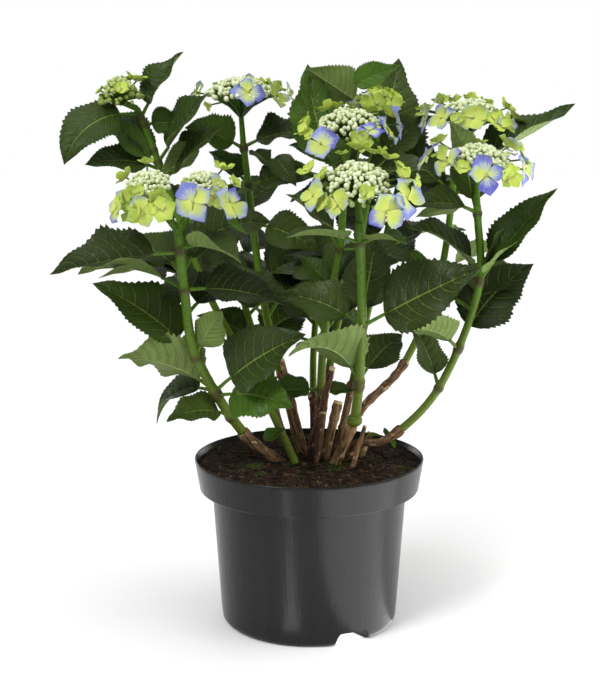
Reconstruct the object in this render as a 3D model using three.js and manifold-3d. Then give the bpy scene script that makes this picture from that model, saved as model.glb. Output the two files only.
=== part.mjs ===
// A lacecap hydrangea in its nursery pot: pot, compost, woody canes, leafy shoots and flower heads.
// Millimetres and degrees, +Z up, origin at the centre of the pot's underside.
// Turns are counted round the vertical from +X, so 90 is the back of the plant and 270 its front.
import * as THREE from 'three';
import { mergeVertices } from 'three/addons/utils/BufferGeometryUtils.js';
import Module from 'manifold-3d';

const wasm = await Module();
wasm.setup();

// ---------- Driving dimensions ----------
const GAP = 0.3; // between pieces that meet
const POT = {
  height: 168, rim: 115, collarFoot: 110.3, collarHeight: 31, shoulder: 97.8, base: 88.3,
  wall: 2.2, floor: 3, corner: 7, fillet: 4, rounding: 2, lip: 0.8, sides: 36,
  notch: { width: 38, height: 12, depth: 22, lining: 2, taper: 0.72, turns: [299, 59, 179] },
};
const SOIL_TOP = 163;
const FOOT = SOIL_TOP - 18; // where every stem's route starts, below its flat cut at the compost
const STEM = { sides: 6, stride: 22, tipShare: 0.82 };
const FORKED = 0.985; // place on a route where its forks part
const LEAF = {
  petiole: 0.2, petioleFoot: 0.03, petioleRadius: 1.7, width: 0.72, thickness: 0.017, clear: 0.6,
  blade: [0.14, 0.42, 0.76], // where the blade's outline is set out, as shares of its length
};
const FILL = { swing: [15, 80], rise: [20, 55], length: [80, 110], droop: [30, 60], roll: [0, 40] };
const FLORET = {
  B: { radius: 17, lean: 55 }, // large and blue
  Y: { radius: 13, lean: 50 }, // half open, yellow-green with blue edges
  L: { radius: 9.5, lean: 40 }, // small and lime green
};
const SEPALS = { waist: 0.72, cup: 1.5, depth: 0.7 };
const HEAD = {
  stations: 12, swing: 0.4, rise: [-2, 5], rayFoot: 8, ray: [1.2, 1], stalk: 3.2, stalkTop: 4,
  hub: 0.6, domeRise: 0.5, bumps: 0.08, sides: 12, seed: 11,
};

// Each shoot: the route of its stem, the radius of its foot, the height at which the bare cane ends,
// and its leaves as [height on the stem, turn, rise, length, droop, roll, fold]. A leaf sets out at its
// rise, bends down by its droop, is rolled about its midrib and folded up along it, by 20 if not given.
// The fill is a number of further pairs, set by rule between two heights. Flower heads stand on the
// stem's tip, or on the ends of its forks.
const SHOOTS = {
  left_front: {
    route: [[-18, 0, FOOT], [-66, -20, 198], [-108, -50, 279], [-118, -60, 345], [-122, -70, 405]],
    thick: 5.5, bare: 198, fill: [2, 300, 380],
    forks: [[-138, -72, 424], [-106, -74, 426]],
    leaves: [
      [215, 210, 30, 72, 55, -35], [238, 325, 15, 92, 30, 50, 10],
      [242, 200, 45, 105, 45, 50, 30], [242, 330, 43, 122, 20, 70],
      [242, 150, 15, 90, 90, -30],
      [279, 177, 48, 122, 25, -38], [279, 310, 60, 65, 20, -60],
      [345, 160, 30, 117, 50, 20], [345, 12, 5, 98, 30, 35],
      [381, 197, 0, 122, 15, -25, 30], [381, 25, 35, 98, 40, 45], [385, 318, 15, 82, 40, 0, 40],
    ],
  },
  left_back: {
    route: [[-8, -18, FOOT], [-54, 8, 246], [-103, 40, 329], [-158, 70, 470], [-175, 75, 512]],
    thick: 4.2, bare: 250, fill: [2, 300, 420],
    leaves: [
      [329, 155, 38, 125, 40, -20], [329, 340, 12, 95, 30, 35],
      [450, 200, 25, 80, 40, -45], [440, 328, 45, 88, 15, 50],
      [470, 150, 40, 85, 40, -30], [458, 335, 52, 92, 5, 40],
      [504, 208, 15, 105, 90, -40, 5], [495, 10, 15, 40, 30, 65], [502, 12, 64, 80, 15, 30, 30],
      [450, 178, 50, 82, 20, -40],
    ],
  },
  mid_left: {
    route: [[-6, 18, FOOT], [-31, 46, 250], [-49, 70, 326], [-63, 90, 433], [-68, 95, 476]],
    thick: 4.5, bare: 245, fill: [2, 280, 350],
    leaves: [
      [394, 203, 20, 70, 40, -30], [394, 340, -5, 80, 30, 60],
      [433, 150, 50, 60, 30, -30], [430, 335, 30, 80, 40, 50],
      [470, 192, 35, 66, 30, -55], [472, 350, 30, 75, 35, 35],
    ],
  },
  centre_front: {
    route: [[20, -12, FOOT], [44, -30, 214], [49, -60, 310], [46, -80, 391], [45, -84, 411]],
    thick: 5.2, bare: 214, fill: [0, 214, 411],
    leaves: [
      [248, 222, 72, 112, 95, 25, 25], [254, 50, 42, 80, 30, 30],
      [310, 161, 38, 88, 40, -50], [310, 341, 31, 128, 5, 55, 10], [310, 60, 75, 90, 10, 20, 10],
      [391, 212, 22, 82, 30, 0], [391, 307, 20, 66, 30, 0],
    ],
  },
  centre_mid: {
    route: [[9, 14, FOOT], [15, 20, 288], [30, 15, 374], [35, 10, 458]],
    thick: 4.5, bare: 225, fill: [2, 270, 350],
    leaves: [
      [232, 190, 5, 58, 10, -40], [232, 350, 5, 34, 10, 40],
      [334, 2, 47, 70, 20, 30], [334, 150, 50, 50, 20, -40],
      [374, 219, 56, 90, 30, -40], [374, 356, 5, 80, 30, 20],
      [445, 346, 25, 88, 40, 30],
      [440, 118, 32, 143, -50, 0, 15],
    ],
  },
  centre_back: {
    route: [[8, 32, FOOT], [27, 55, 282], [53, 80, 377], [71, 92, 490]],
    thick: 4.5, bare: 250, fill: [3, 280, 440],
    leaves: [
      [444, 156, 37, 100, 40, -40], [444, 21, 60, 95, 40, 40], [470, 65, 40, 116, -30, 30, 5],
    ],
  },
  right_front: {
    route: [
      [30, 4, FOOT], [48, -12, 184], [79, -15, 190], [127, -20, 242], [162, -30, 340], [158, -40, 423],
    ],
    thick: 4.6, bare: 200, fill: [1, 300, 340],
    leaves: [
      [242, 140, 72, 72, 20, 0, 10],
      [281, 225, 45, 82, 50, 30], [284, 15, 66, 112, 40, 45, 10],
      [350, 205, 60, 98, 50, -30], [350, 0, 56, 114, 10, 38, 25], [352, 30, 55, 75, 10, -40],
      [348, 315, 60, 62, 30, 30],
      [415, 200, 30, 72, 50, -30], [415, 105, 45, 85, -40, 0],
    ],
  },
  right_back: {
    route: [[24, 20, FOOT], [53, 25, 209], [99, 45, 256], [137, 70, 347], [153, 84, 480]],
    thick: 4.4, bare: 256, fill: [1, 390, 440],
    leaves: [
      [347, 192, 26, 60, 30, -20], [347, 345, 30, 85, 20, -20],
      [455, 350, 15, 135, -25, 20, 25], [425, 160, 45, 95, 30, -40],
      [462, 285, 30, 50, 60, 0],
    ],
  },
  back_right: {
    route: [[28, 40, FOOT], [62, 85, 300], [98, 128, 440]],
    thick: 4.2, bare: 230, fill: [4, 320, 430],
    leaves: [[436, 95, 75, 115, 15, 0, 10], [436, 280, 20, 70, 60, 0]],
  },
  back_left: {
    route: [[-20, 38, FOOT], [-60, 95, 280], [-100, 150, 400]],
    thick: 4.2, bare: 230, fill: [5, 250, 396],
    leaves: [],
  },
  back_centre: {
    route: [[6, 50, FOOT], [5, 100, 250], [12, 165, 320]],
    thick: 4.2, bare: 215, fill: [3, 255, 305],
    leaves: [],
  },
};

// Cut and broken stubs of last year's wood: foot and end, thickness at both.
const STUBS = {
  tall: [[-4, 0, FOOT], [23, -10, 261], 3.8, 3.2],
  short: [[12, -4, FOOT], [29, 0, 224], 4.5, 4.8],
  dark: [[5, -17, FOOT], [14, -12, 216], 3, 2.6],
  low: [[40, -26, FOOT], [55, -24, 205], 2.6, 2.2],
  right: [[48, 6, FOOT], [62, 10, 190], 3, 3.2],
  left: [[0, 8, FOOT], [-28, 28, 262], 3.4, 2.8],
};

// Each flower head: the shoot and fork it grows from, the centre of its dome, the turn and angle by
// which it leans, the radii of its dome and of its ring of florets, and the florets round that ring.
const HEADS = {
  left_small: {
    shoot: 'left_back', centre: [-192, 67, 529], turn: 180, lean: 10, dome: 23, ring: 19,
    florets: '..........L.',
  },
  left_front_a: {
    shoot: 'left_front', fork: 0, centre: [-149, -72, 442], turn: 255, lean: 35, dome: 20, ring: 32,
    florets: '...YL..YYLL.',
  },
  left_front_b: {
    shoot: 'left_front', fork: 1, centre: [-96, -75, 442], turn: 285, lean: 30, dome: 20, ring: 32,
    florets: '..L......BYB',
  },
  mid_left: {
    shoot: 'mid_left', centre: [-70, 95, 523], turn: 270, lean: 5, dome: 36, ring: 47,
    florets: 'YLLL.LY..BY.',
  },
  centre_mid: {
    shoot: 'centre_mid', centre: [39, 10, 495], turn: 270, lean: 18, dome: 31, ring: 47,
    florets: 'YLLLL.L.B.BB',
  },
  centre_back: {
    shoot: 'centre_back', centre: [69, 90, 519], turn: 270, lean: 15, dome: 16, ring: 21,
    florets: 'L.L.L.L.L.L.',
  },
  centre_front: {
    shoot: 'centre_front', centre: [43, -90, 446], turn: 270, lean: 35, dome: 30, ring: 47,
    florets: 'L.LL..LYY.BB',
  },
  right_back: {
    shoot: 'right_back', centre: [165, 84, 503], turn: 270, lean: 12, dome: 32, ring: 44,
    florets: 'L.LLL.B.YYYL',
  },
  back_centre: {
    shoot: 'back_centre', centre: [13, 172, 350], turn: 90, lean: 20, dome: 28, ring: 42,
    florets: 'LYB.BLYBLBYB',
  },
  right_front: {
    shoot: 'right_front', centre: [157, -45, 463], turn: 270, lean: 20, dome: 28, ring: 42,
    florets: 'BY...LBY.BLB',
  },
};

// ---------- Small helpers ----------
const radians = THREE.MathUtils.degToRad;
const vector = (p) => new THREE.Vector3(...p);

// The same run of numbers from 0 to 1 for the same seed.
function dice(seed) {
  let state = seed;
  return () => {
    state = (state * 1664525 + 1013904223) % 4294967296;
    return state / 4294967296;
  };
}

const between = ([low, high], random) => low + (high - low) * random();

// A closed geometry as a solid. Vertices that coincide are merged, and flattened triangles dropped.
function solid(geometry) {
  const bare = geometry.clone();
  bare.deleteAttribute('normal');
  bare.deleteAttribute('uv');
  const merged = mergeVertices(bare, 1e-4);
  const index = merged.index.array;
  const kept = [];
  for (let i = 0; i < index.length; i += 3) {
    const [a, b, c] = [index[i], index[i + 1], index[i + 2]];
    if (a !== b && b !== c && c !== a) kept.push(a, b, c);
  }
  return new wasm.Manifold(new wasm.Mesh({
    numProp: 3,
    vertProperties: new Float32Array(merged.attributes.position.array),
    triVerts: new Uint32Array(kept),
  }));
}

// A geometry with every vertex moved to where the rule says.
function reshape(geometry, rule) {
  const place = geometry.attributes.position;
  for (let i = 0; i < place.count; i++) {
    const p = rule(new THREE.Vector3().fromBufferAttribute(place, i));
    place.setXYZ(i, p.x, p.y, p.z);
  }
  return geometry;
}

function fuse(solids) {
  return solids.reduce((all, one) => all.add(one));
}

// ---------- Pot and compost ----------
const radiusAt = (z) => POT.base + (POT.shoulder - POT.base) * z / (POT.height - POT.collarHeight);

function potSolid() {
  const { height, rim, collarFoot, collarHeight, base, wall, floor, corner, fillet, rounding, lip } = POT;
  const step = height - collarHeight;
  const profile = new THREE.Path();
  profile.moveTo(0, 0);
  profile.lineTo(base - corner, 0);
  profile.quadraticCurveTo(base, 0, radiusAt(corner), corner);
  profile.lineTo(radiusAt(step - fillet), step - fillet);
  profile.quadraticCurveTo(radiusAt(step), step, radiusAt(step) + fillet, step);
  profile.lineTo(collarFoot - rounding, step);
  profile.quadraticCurveTo(collarFoot, step, collarFoot, step + rounding);
  profile.lineTo(rim, height - lip);
  profile.lineTo(rim - lip, height);
  profile.lineTo(rim - wall, height);
  profile.lineTo(collarFoot - wall, step + wall);
  profile.lineTo(radiusAt(step) - wall, step);
  profile.lineTo(radiusAt(floor) - wall, floor);
  profile.lineTo(0, floor);
  const turned = new THREE.LatheGeometry(profile.getPoints(3), POT.sides);
  let pot = solid(turned.rotateX(Math.PI / 2));
  for (const turn of POT.notch.turns) {
    pot = pot.add(notchBlock(turn, POT.notch.lining).intersect(pot.hull()));
    pot = pot.subtract(notchBlock(turn, 0));
  }
  return pot;
}

// A drainage notch in the foot of the wall, narrower at its top, or that notch with a lining round it.
function notchBlock(turn, grown) {
  const { width, height, depth, taper } = POT.notch;
  const block = new THREE.BoxGeometry(1, 1, 1);
  reshape(block, (p) => {
    const atTop = p.z > 0;
    const along = p.x > 0 ? depth : -depth - grown;
    const across = p.y * (width + 2 * grown) * (atTop ? taper : 1);
    return new THREE.Vector3(POT.base + along, across, atTop ? height + grown : -grown - 1);
  });
  return solid(block.rotateZ(radians(turn)));
}

function soilSolid() {
  const step = POT.height - POT.collarHeight;
  const collar = (POT.rim - POT.collarFoot) / (POT.height - step - POT.wall);
  const top = SOIL_TOP - 2;
  const rim = POT.collarFoot - POT.wall - 3 * GAP + collar * (top - step - POT.wall);
  const profile = [
    new THREE.Vector2(0, POT.floor + GAP),
    new THREE.Vector2(radiusAt(POT.floor) - POT.wall - 2 * GAP, POT.floor + GAP),
    new THREE.Vector2(radiusAt(step) - POT.wall - 2 * GAP, step + 2 * GAP),
    new THREE.Vector2(POT.collarFoot - POT.wall - 2 * GAP, step + POT.wall + 4 * GAP),
    new THREE.Vector2(rim, top),
    new THREE.Vector2(rim - 6, SOIL_TOP),
    new THREE.Vector2(0, SOIL_TOP),
  ];
  let soil = solid(new THREE.LatheGeometry(profile, POT.sides).rotateX(Math.PI / 2));
  for (const turn of POT.notch.turns) soil = soil.subtract(notchBlock(turn, POT.notch.lining + 2 * GAP));
  return soil;
}

// ---------- Stems ----------
const routeOf = (points) => new THREE.CatmullRomCurve3(points.map(vector), false, 'catmullrom', 0.5);

// The place on a route, from 0 to 1, that lies at a given height.
function shareAt(route, height) {
  let low = 0;
  let high = 1;
  for (let i = 0; i < 30; i++) {
    const middle = (low + high) / 2;
    if (route.getPoint(middle).z < height) low = middle;
    else high = middle;
  }
  return low;
}

// A tapering limb along a route, from one share of it to another.
function limb(route, from, to, thickFrom, thickTo, sides = STEM.sides) {
  const length = route.getLength() * (to - from);
  const steps = Math.max(1, Math.round(length / STEM.stride));
  const tube = new THREE.CylinderGeometry(1, 1, 1, sides, steps);
  return solid(reshape(tube, (p) => {
    const along = p.y + 0.5;
    const share = from + (to - from) * along;
    const forward = route.getTangent(share);
    const across = new THREE.Vector3(0, 1, 0).cross(forward).normalize();
    const up = forward.clone().cross(across);
    const radius = thickFrom + (thickTo - thickFrom) * along;
    return route.getPoint(share).addScaledVector(across, p.x * radius).addScaledVector(up, -p.z * radius);
  }));
}

// ---------- Leaves ----------
// Half the blade's width, as a share of its greatest, at a share of its length from the petiole.
const bladeProfile = (u) => Math.sin(Math.PI * u ** 0.6);

// Place and frame of a leaf's midrib, an arc in the upright plane of its turn, at a share of its length.
function midrib(base, [, turn, rise, length, droop, roll], share) {
  const bend = radians(droop === 0 ? 1 : droop);
  const start = radians(rise);
  const now = start - bend * share;
  const out = length * (Math.sin(start) - Math.sin(now)) / bend;
  const up = length * (Math.cos(now) - Math.cos(start)) / bend;
  const heading = new THREE.Vector3(Math.cos(radians(turn)), Math.sin(radians(turn)), 0);
  const place = base.clone().addScaledVector(heading, out).add(new THREE.Vector3(0, 0, up));
  const forward = heading.clone().multiplyScalar(Math.cos(now)).setZ(Math.sin(now));
  const side = new THREE.Vector3(-heading.y, heading.x, 0).applyAxisAngle(forward, radians(roll));
  return { place, side, face: forward.clone().cross(side) };
}

// A leaf with its petiole: a slim lens, folded up along the midrib, whose root is on the stem's axis.
function leafSolid(base, leaf, grown = 0) {
  const [, , , length, , , fold = 20] = leaf;
  const widest = length * (1 - LEAF.petiole) * LEAF.width / 2;
  const onBlade = LEAF.blade.map((u) => LEAF.petiole + u * (1 - LEAF.petiole));
  const stations = [0, LEAF.petioleFoot, LEAF.petiole, ...onBlade, 1];
  const rings = stations.length - 1;
  const lens = new THREE.SphereGeometry(1, 4, rings);
  return solid(reshape(lens, (p) => {
    const station = Math.round(Math.acos(THREE.MathUtils.clamp(p.y, -1, 1)) / Math.PI * rings);
    const { place, side, face } = midrib(base, leaf, stations[station]);
    if (station === 0 || station === rings) return place;
    const bladeStation = station - (stations.indexOf(LEAF.petiole) + 1);
    const inBlade = bladeStation >= 0;
    const halfWidth = inBlade ? widest * bladeProfile(LEAF.blade[bladeStation]) : LEAF.petioleRadius;
    const halfDepth = (inBlade ? length * LEAF.thickness / 2 : LEAF.petioleRadius) + grown / 2;
    const angle = inBlade ? radians(fold) : 0;
    const across = Math.sign(Math.round(p.x * 10));
    const deep = Math.sign(Math.round(p.z * 10));
    place.addScaledVector(side, across * (halfWidth + grown) * Math.cos(angle));
    place.addScaledVector(face, deep * halfDepth + Math.abs(across) * halfWidth * Math.sin(angle));
    return place;
  }));
}

// Pairs of leaves by rule, evenly up the stem: each pair reaches back, to the right and the left.
function ruledLeaves([pairs, low, high], random) {
  const leaves = [];
  for (let pair = 0; pair < pairs; pair++) {
    const height = low + (high - low) * (pair + 0.5) / pairs;
    for (const hand of [1, -1]) {
      const turn = 90 - hand * between(FILL.swing, random);
      const roll = hand * between(FILL.roll, random);
      const length = between(FILL.length, random);
      leaves.push([height, turn, between(FILL.rise, random), length, between(FILL.droop, random), roll]);
    }
  }
  return leaves;
}

// ---------- Flower heads ----------
function headFrame({ turn, lean }) {
  const axis = new THREE.Vector3(Math.sin(radians(lean)) * Math.cos(radians(turn)),
    Math.sin(radians(lean)) * Math.sin(radians(turn)), Math.cos(radians(lean)));
  const right = new THREE.Vector3(0, 1, 0).cross(axis).normalize();
  return { axis, right, back: axis.clone().cross(right) };
}

// A straight twig between two points.
function twig(from, to, thickFrom, thickTo, sides = 3) {
  return limb(new THREE.LineCurve3(from, to), 0, 1, thickFrom, thickTo, sides);
}

function headSolid(head, foot, forward, random) {
  const { axis, right, back } = headFrame(head);
  const centre = vector(head.centre);
  const round = (angle, radius, rise) => centre.clone()
    .addScaledVector(right, Math.cos(radians(angle)) * radius)
    .addScaledVector(back, Math.sin(radians(angle)) * radius)
    .addScaledVector(axis, rise);
  const hub = centre.clone().addScaledVector(axis, -HEAD.hub * head.dome);
  const pieces = [
    twig(foot, hub.clone().addScaledVector(axis, HEAD.stalkTop), HEAD.stalk, HEAD.stalk, STEM.sides),
    domeSolid(centre, right, back, axis, head.dome),
  ];
  for (let i = 0; i < HEAD.stations; i++) {
    const kind = FLORET[head.florets[i]];
    const angle = (i + HEAD.swing * (random() - 0.5)) * 360 / HEAD.stations;
    const rise = between(HEAD.rise, random);
    const spin = between([0, 90], random);
    if (!kind) continue;
    const out = round(angle, 1, 0).sub(centre);
    pieces.push(...floretSolids(kind, centre, axis, out, round(angle, head.ring, rise), spin));
  }
  return fuse(pieces).subtract(blockBehind(foot, forward));
}

// The dome of flower buds, with a bump at every other vertex, over the funnel of rays that carries it.
function domeSolid(centre, right, back, axis, radius) {
  const across = [0, 0.62, 1, 0.86, 0.3, 0]; // from the dome's top, past its rim, to the hub
  const along = [HEAD.domeRise, 0.8 * HEAD.domeRise, 0.4 * HEAD.domeRise, 0, -0.7 * HEAD.hub, -HEAD.hub];
  const dome = new THREE.SphereGeometry(1, HEAD.sides, across.length - 1).rotateX(Math.PI / 2);
  return solid(reshape(dome, (p) => {
    const ring = Math.round(Math.acos(THREE.MathUtils.clamp(p.z, -1, 1)) / Math.PI * (across.length - 1));
    const angle = Math.atan2(p.y, p.x);
    const side = Math.round(angle / (2 * Math.PI) * HEAD.sides);
    const bump = (side + ring) % 2 === 0 ? HEAD.bumps : -HEAD.bumps;
    const reach = radius * across[ring] * (1 + bump);
    return centre.clone()
      .addScaledVector(right, Math.cos(angle) * reach)
      .addScaledVector(back, Math.sin(angle) * reach)
      .addScaledVector(axis, radius * along[ring]);
  }));
}

// A block whose front face is one gap ahead of a limb's end, square to it.
function blockBehind(end, forward) {
  const size = 24;
  const block = new THREE.BoxGeometry(size, size, size / 2).translate(0, 0, GAP - size / 4);
  block.applyQuaternion(new THREE.Quaternion().setFromUnitVectors(new THREE.Vector3(0, 0, 1), forward));
  return solid(block.translate(end.x, end.y, end.z));
}

// A floret of four broad sepals and its ray, leaning outwards from the head's axis.
function floretSolids(kind, centre, axis, out, place, spin) {
  const normal = axis.clone().multiplyScalar(Math.cos(radians(kind.lean)))
    .addScaledVector(out, Math.sin(radians(kind.lean)));
  const side = axis.clone().cross(out).normalize();
  const up = normal.clone().cross(side);
  const star = new THREE.SphereGeometry(1, 8, 2);
  const flower = reshape(star, (p) => {
    const angle = Math.atan2(p.z, p.x);
    const edge = Math.abs(p.y) < 0.5;
    const tip = Math.round(angle / (Math.PI / 4)) % 2 === 0;
    const radius = edge ? kind.radius * (tip ? 1 : SEPALS.waist) : 0;
    const turned = angle + radians(spin);
    return place.clone()
      .addScaledVector(side, Math.cos(turned) * radius)
      .addScaledVector(up, Math.sin(turned) * radius)
      .addScaledVector(normal, edge ? (tip ? SEPALS.cup : 0) : -SEPALS.depth * Math.sign(p.y));
  });
  const foot = centre.clone().addScaledVector(out, HEAD.rayFoot);
  return [solid(flower), twig(foot, place, ...HEAD.ray)];
}

// ---------- Putting the plant together ----------
const plant = new THREE.Group();

function addNode(name, piece, colour, roughness) {
  const mesh = piece.getMesh();
  const geometry = new THREE.BufferGeometry();
  geometry.setAttribute('position', new THREE.BufferAttribute(mesh.vertProperties, 3));
  geometry.setIndex(new THREE.BufferAttribute(mesh.triVerts, 1));
  const material = new THREE.MeshStandardMaterial({ color: colour, roughness, metalness: 0 });
  const node = new THREE.Mesh(geometry, material);
  node.name = name;
  plant.add(node);
}

addNode('pot', potSolid(), 0x3a3a38, 0.35);
addNode('compost', soilSolid(), 0x2b211a, 0.95);

const ground = solid(new THREE.BoxGeometry(300, 300, 60).translate(0, 0, SOIL_TOP + GAP - 30));
const masses = {};
const taken = []; // every solid that leaves of other shoots keep clear of

for (const [name, shoot] of Object.entries(SHOOTS)) {
  const route = routeOf(shoot.route);
  const gapShare = GAP / route.getLength();
  const end = shareAt(route, shoot.bare);
  const tipThick = shoot.thick * STEM.tipShare;
  const thickAt = (share) => shoot.thick + (tipThick - shoot.thick) * share;
  const cane = limb(route, 0, end, thickAt(0), thickAt(end)).subtract(ground);
  addNode(`cane_${name}`, cane, 0x6b5a3a, 0.85);
  taken.push({ owner: `cane_${name}`, solid: cane });
  const parts = [limb(route, end + gapShare * 1.5, 1, thickAt(end), tipThick)];
  for (const fork of shoot.forks ?? []) {
    parts.push(twig(route.getPoint(FORKED), vector(fork), tipThick * 0.9, HEAD.stalk, STEM.sides));
  }
  const stem = fuse(parts);
  taken.push({ owner: name, solid: stem });
  masses[name] = { route, parts: [stem] };
}

for (const [name, [foot, end, thickFoot, thickEnd]] of Object.entries(STUBS)) {
  const stub = twig(vector(foot), vector(end), thickFoot, thickEnd, STEM.sides).subtract(ground);
  addNode(`stub_${name}`, stub, 0x5a4632, 0.9);
  taken.push({ owner: `stub_${name}`, solid: stub });
}

for (const [index, [name, head]] of Object.entries(HEADS).entries()) {
  const shoot = SHOOTS[head.shoot];
  const route = masses[head.shoot].route;
  const onFork = head.fork !== undefined;
  const foot = onFork ? vector(shoot.forks[head.fork]) : route.getPoint(1);
  const forward = onFork ? foot.clone().sub(route.getPoint(FORKED)).normalize() : route.getTangent(1);
  const piece = headSolid(head, foot, forward, dice(HEAD.seed + index));
  addNode(`head_${name}`, piece, 0xb9c45c, 0.7);
  taken.push({ owner: `head_${name}`, solid: piece });
}

function touches(candidate, owner) {
  return taken.some((other) => other.owner !== owner && !candidate.intersect(other.solid).isEmpty());
}

function growLeaves(name, leaves) {
  const { route, parts } = masses[name];
  for (const leaf of leaves) {
    const base = route.getPoint(shareAt(route, leaf[0]));
    if (touches(leafSolid(base, leaf, LEAF.clear), name)) continue;
    const grown = leafSolid(base, leaf);
    parts.push(grown);
    taken.push({ owner: name, solid: grown });
  }
}

for (const [name, shoot] of Object.entries(SHOOTS)) growLeaves(name, shoot.leaves);
for (const [name, shoot] of Object.entries(SHOOTS)) {
  growLeaves(name, ruledLeaves(shoot.fill, dice(name.length * 7 + shoot.bare)));
  addNode(`shoot_${name}`, fuse(masses[name].parts), 0x3f6b32, 0.55);
}

export default plant;
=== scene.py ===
# %% [markdown]
# # A lacecap hydrangea in its nursery pot
#
# This lesson dresses a finished CAD model. The CAD model gives plain solids: pot, compost, woody
# canes, leafy shoots and flower heads. Here each of them gets the surface that the eye expects:
# toothed and quilted leaves, speckled stems, beads and sepals, flaky bark, peat and moulded plastic.
# Almost every shape is a function of two parameters, worked out with numpy on whole arrays, so a
# reader can change one formula and see the whole plant change.

# %% Load the frame
import math

import bmesh
import bpy
import numpy as np
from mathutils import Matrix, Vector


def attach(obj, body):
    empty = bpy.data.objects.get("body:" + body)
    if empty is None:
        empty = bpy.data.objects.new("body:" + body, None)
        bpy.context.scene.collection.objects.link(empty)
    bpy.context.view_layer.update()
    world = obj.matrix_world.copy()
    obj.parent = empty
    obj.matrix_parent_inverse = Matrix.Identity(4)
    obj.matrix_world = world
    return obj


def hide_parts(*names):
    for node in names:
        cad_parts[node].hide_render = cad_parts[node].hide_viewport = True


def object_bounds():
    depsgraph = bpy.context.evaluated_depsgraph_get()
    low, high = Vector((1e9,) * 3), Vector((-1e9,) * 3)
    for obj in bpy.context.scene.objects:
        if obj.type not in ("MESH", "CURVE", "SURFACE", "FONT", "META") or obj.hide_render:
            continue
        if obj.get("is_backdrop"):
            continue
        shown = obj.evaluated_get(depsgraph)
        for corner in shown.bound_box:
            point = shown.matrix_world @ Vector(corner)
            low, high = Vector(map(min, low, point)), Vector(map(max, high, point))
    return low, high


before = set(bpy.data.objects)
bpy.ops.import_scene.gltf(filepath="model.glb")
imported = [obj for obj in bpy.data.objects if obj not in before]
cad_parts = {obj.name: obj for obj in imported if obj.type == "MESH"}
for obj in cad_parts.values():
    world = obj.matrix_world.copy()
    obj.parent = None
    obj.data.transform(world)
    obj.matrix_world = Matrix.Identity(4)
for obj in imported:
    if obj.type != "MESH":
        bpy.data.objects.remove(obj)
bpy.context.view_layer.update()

# %% [markdown]
# ## The camera
#
# A plant in a pot is usually shown from a little above the rim, from far enough away that the pot's
# sides hardly converge. A long lens does that. The camera looks along +Y, the plant's front.

# %% Camera
MM = 0.001
LENS = 71.07
EYE = (-9.2, -1315.0, 525.0)
LOOK_DOWN = 10.35
camera_data = bpy.data.cameras.new("view")
camera_data.lens = LENS
camera = bpy.data.objects.new("view", camera_data)
camera.location = np.array(EYE) * MM
camera.rotation_euler = (math.radians(90 - LOOK_DOWN), 0, 0)
bpy.context.collection.objects.link(camera)
bpy.context.scene.camera = camera
print("camera at", [round(v, 3) for v in camera.location])

# %% [markdown]
# ## Small tools for surfaces
#
# Thousands of beads, leaves and sepals would be slow as separate objects. A Pile collects the arrays
# of many small surfaces and hands them to Blender once. Each face has four corners. A surface may
# carry its own flat coordinates (its place), and a tone: four numbers that its material reads, such
# as how old a leaf is. Its grain is a point inside a straightened copy of a bent cane, so that streaks
# of bark follow the bend. The map OFBake gives each surface a cell of its own, like stamps on a sheet.
# Points closer than MERGE, in metres, become one, which closes the tips and poles. The volume that
# each piece prints is above zero only where its faces point outwards.

# %% The pile
CELL_MARGIN = 0.03
MERGE = 0.00002
CRISP = 50


def grid_faces(rows, columns, closed=False):
    """Four-cornered faces over a grid of rows by columns; closed joins the last column to the first."""
    index = np.arange(rows * columns).reshape(rows, columns)
    if closed:
        index = np.concatenate([index, index[:, :1]], axis=1)
    return np.stack([index[:-1, :-1], index[:-1, 1:], index[1:, 1:], index[1:, :-1]], -1).reshape(-1, 4)


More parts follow.
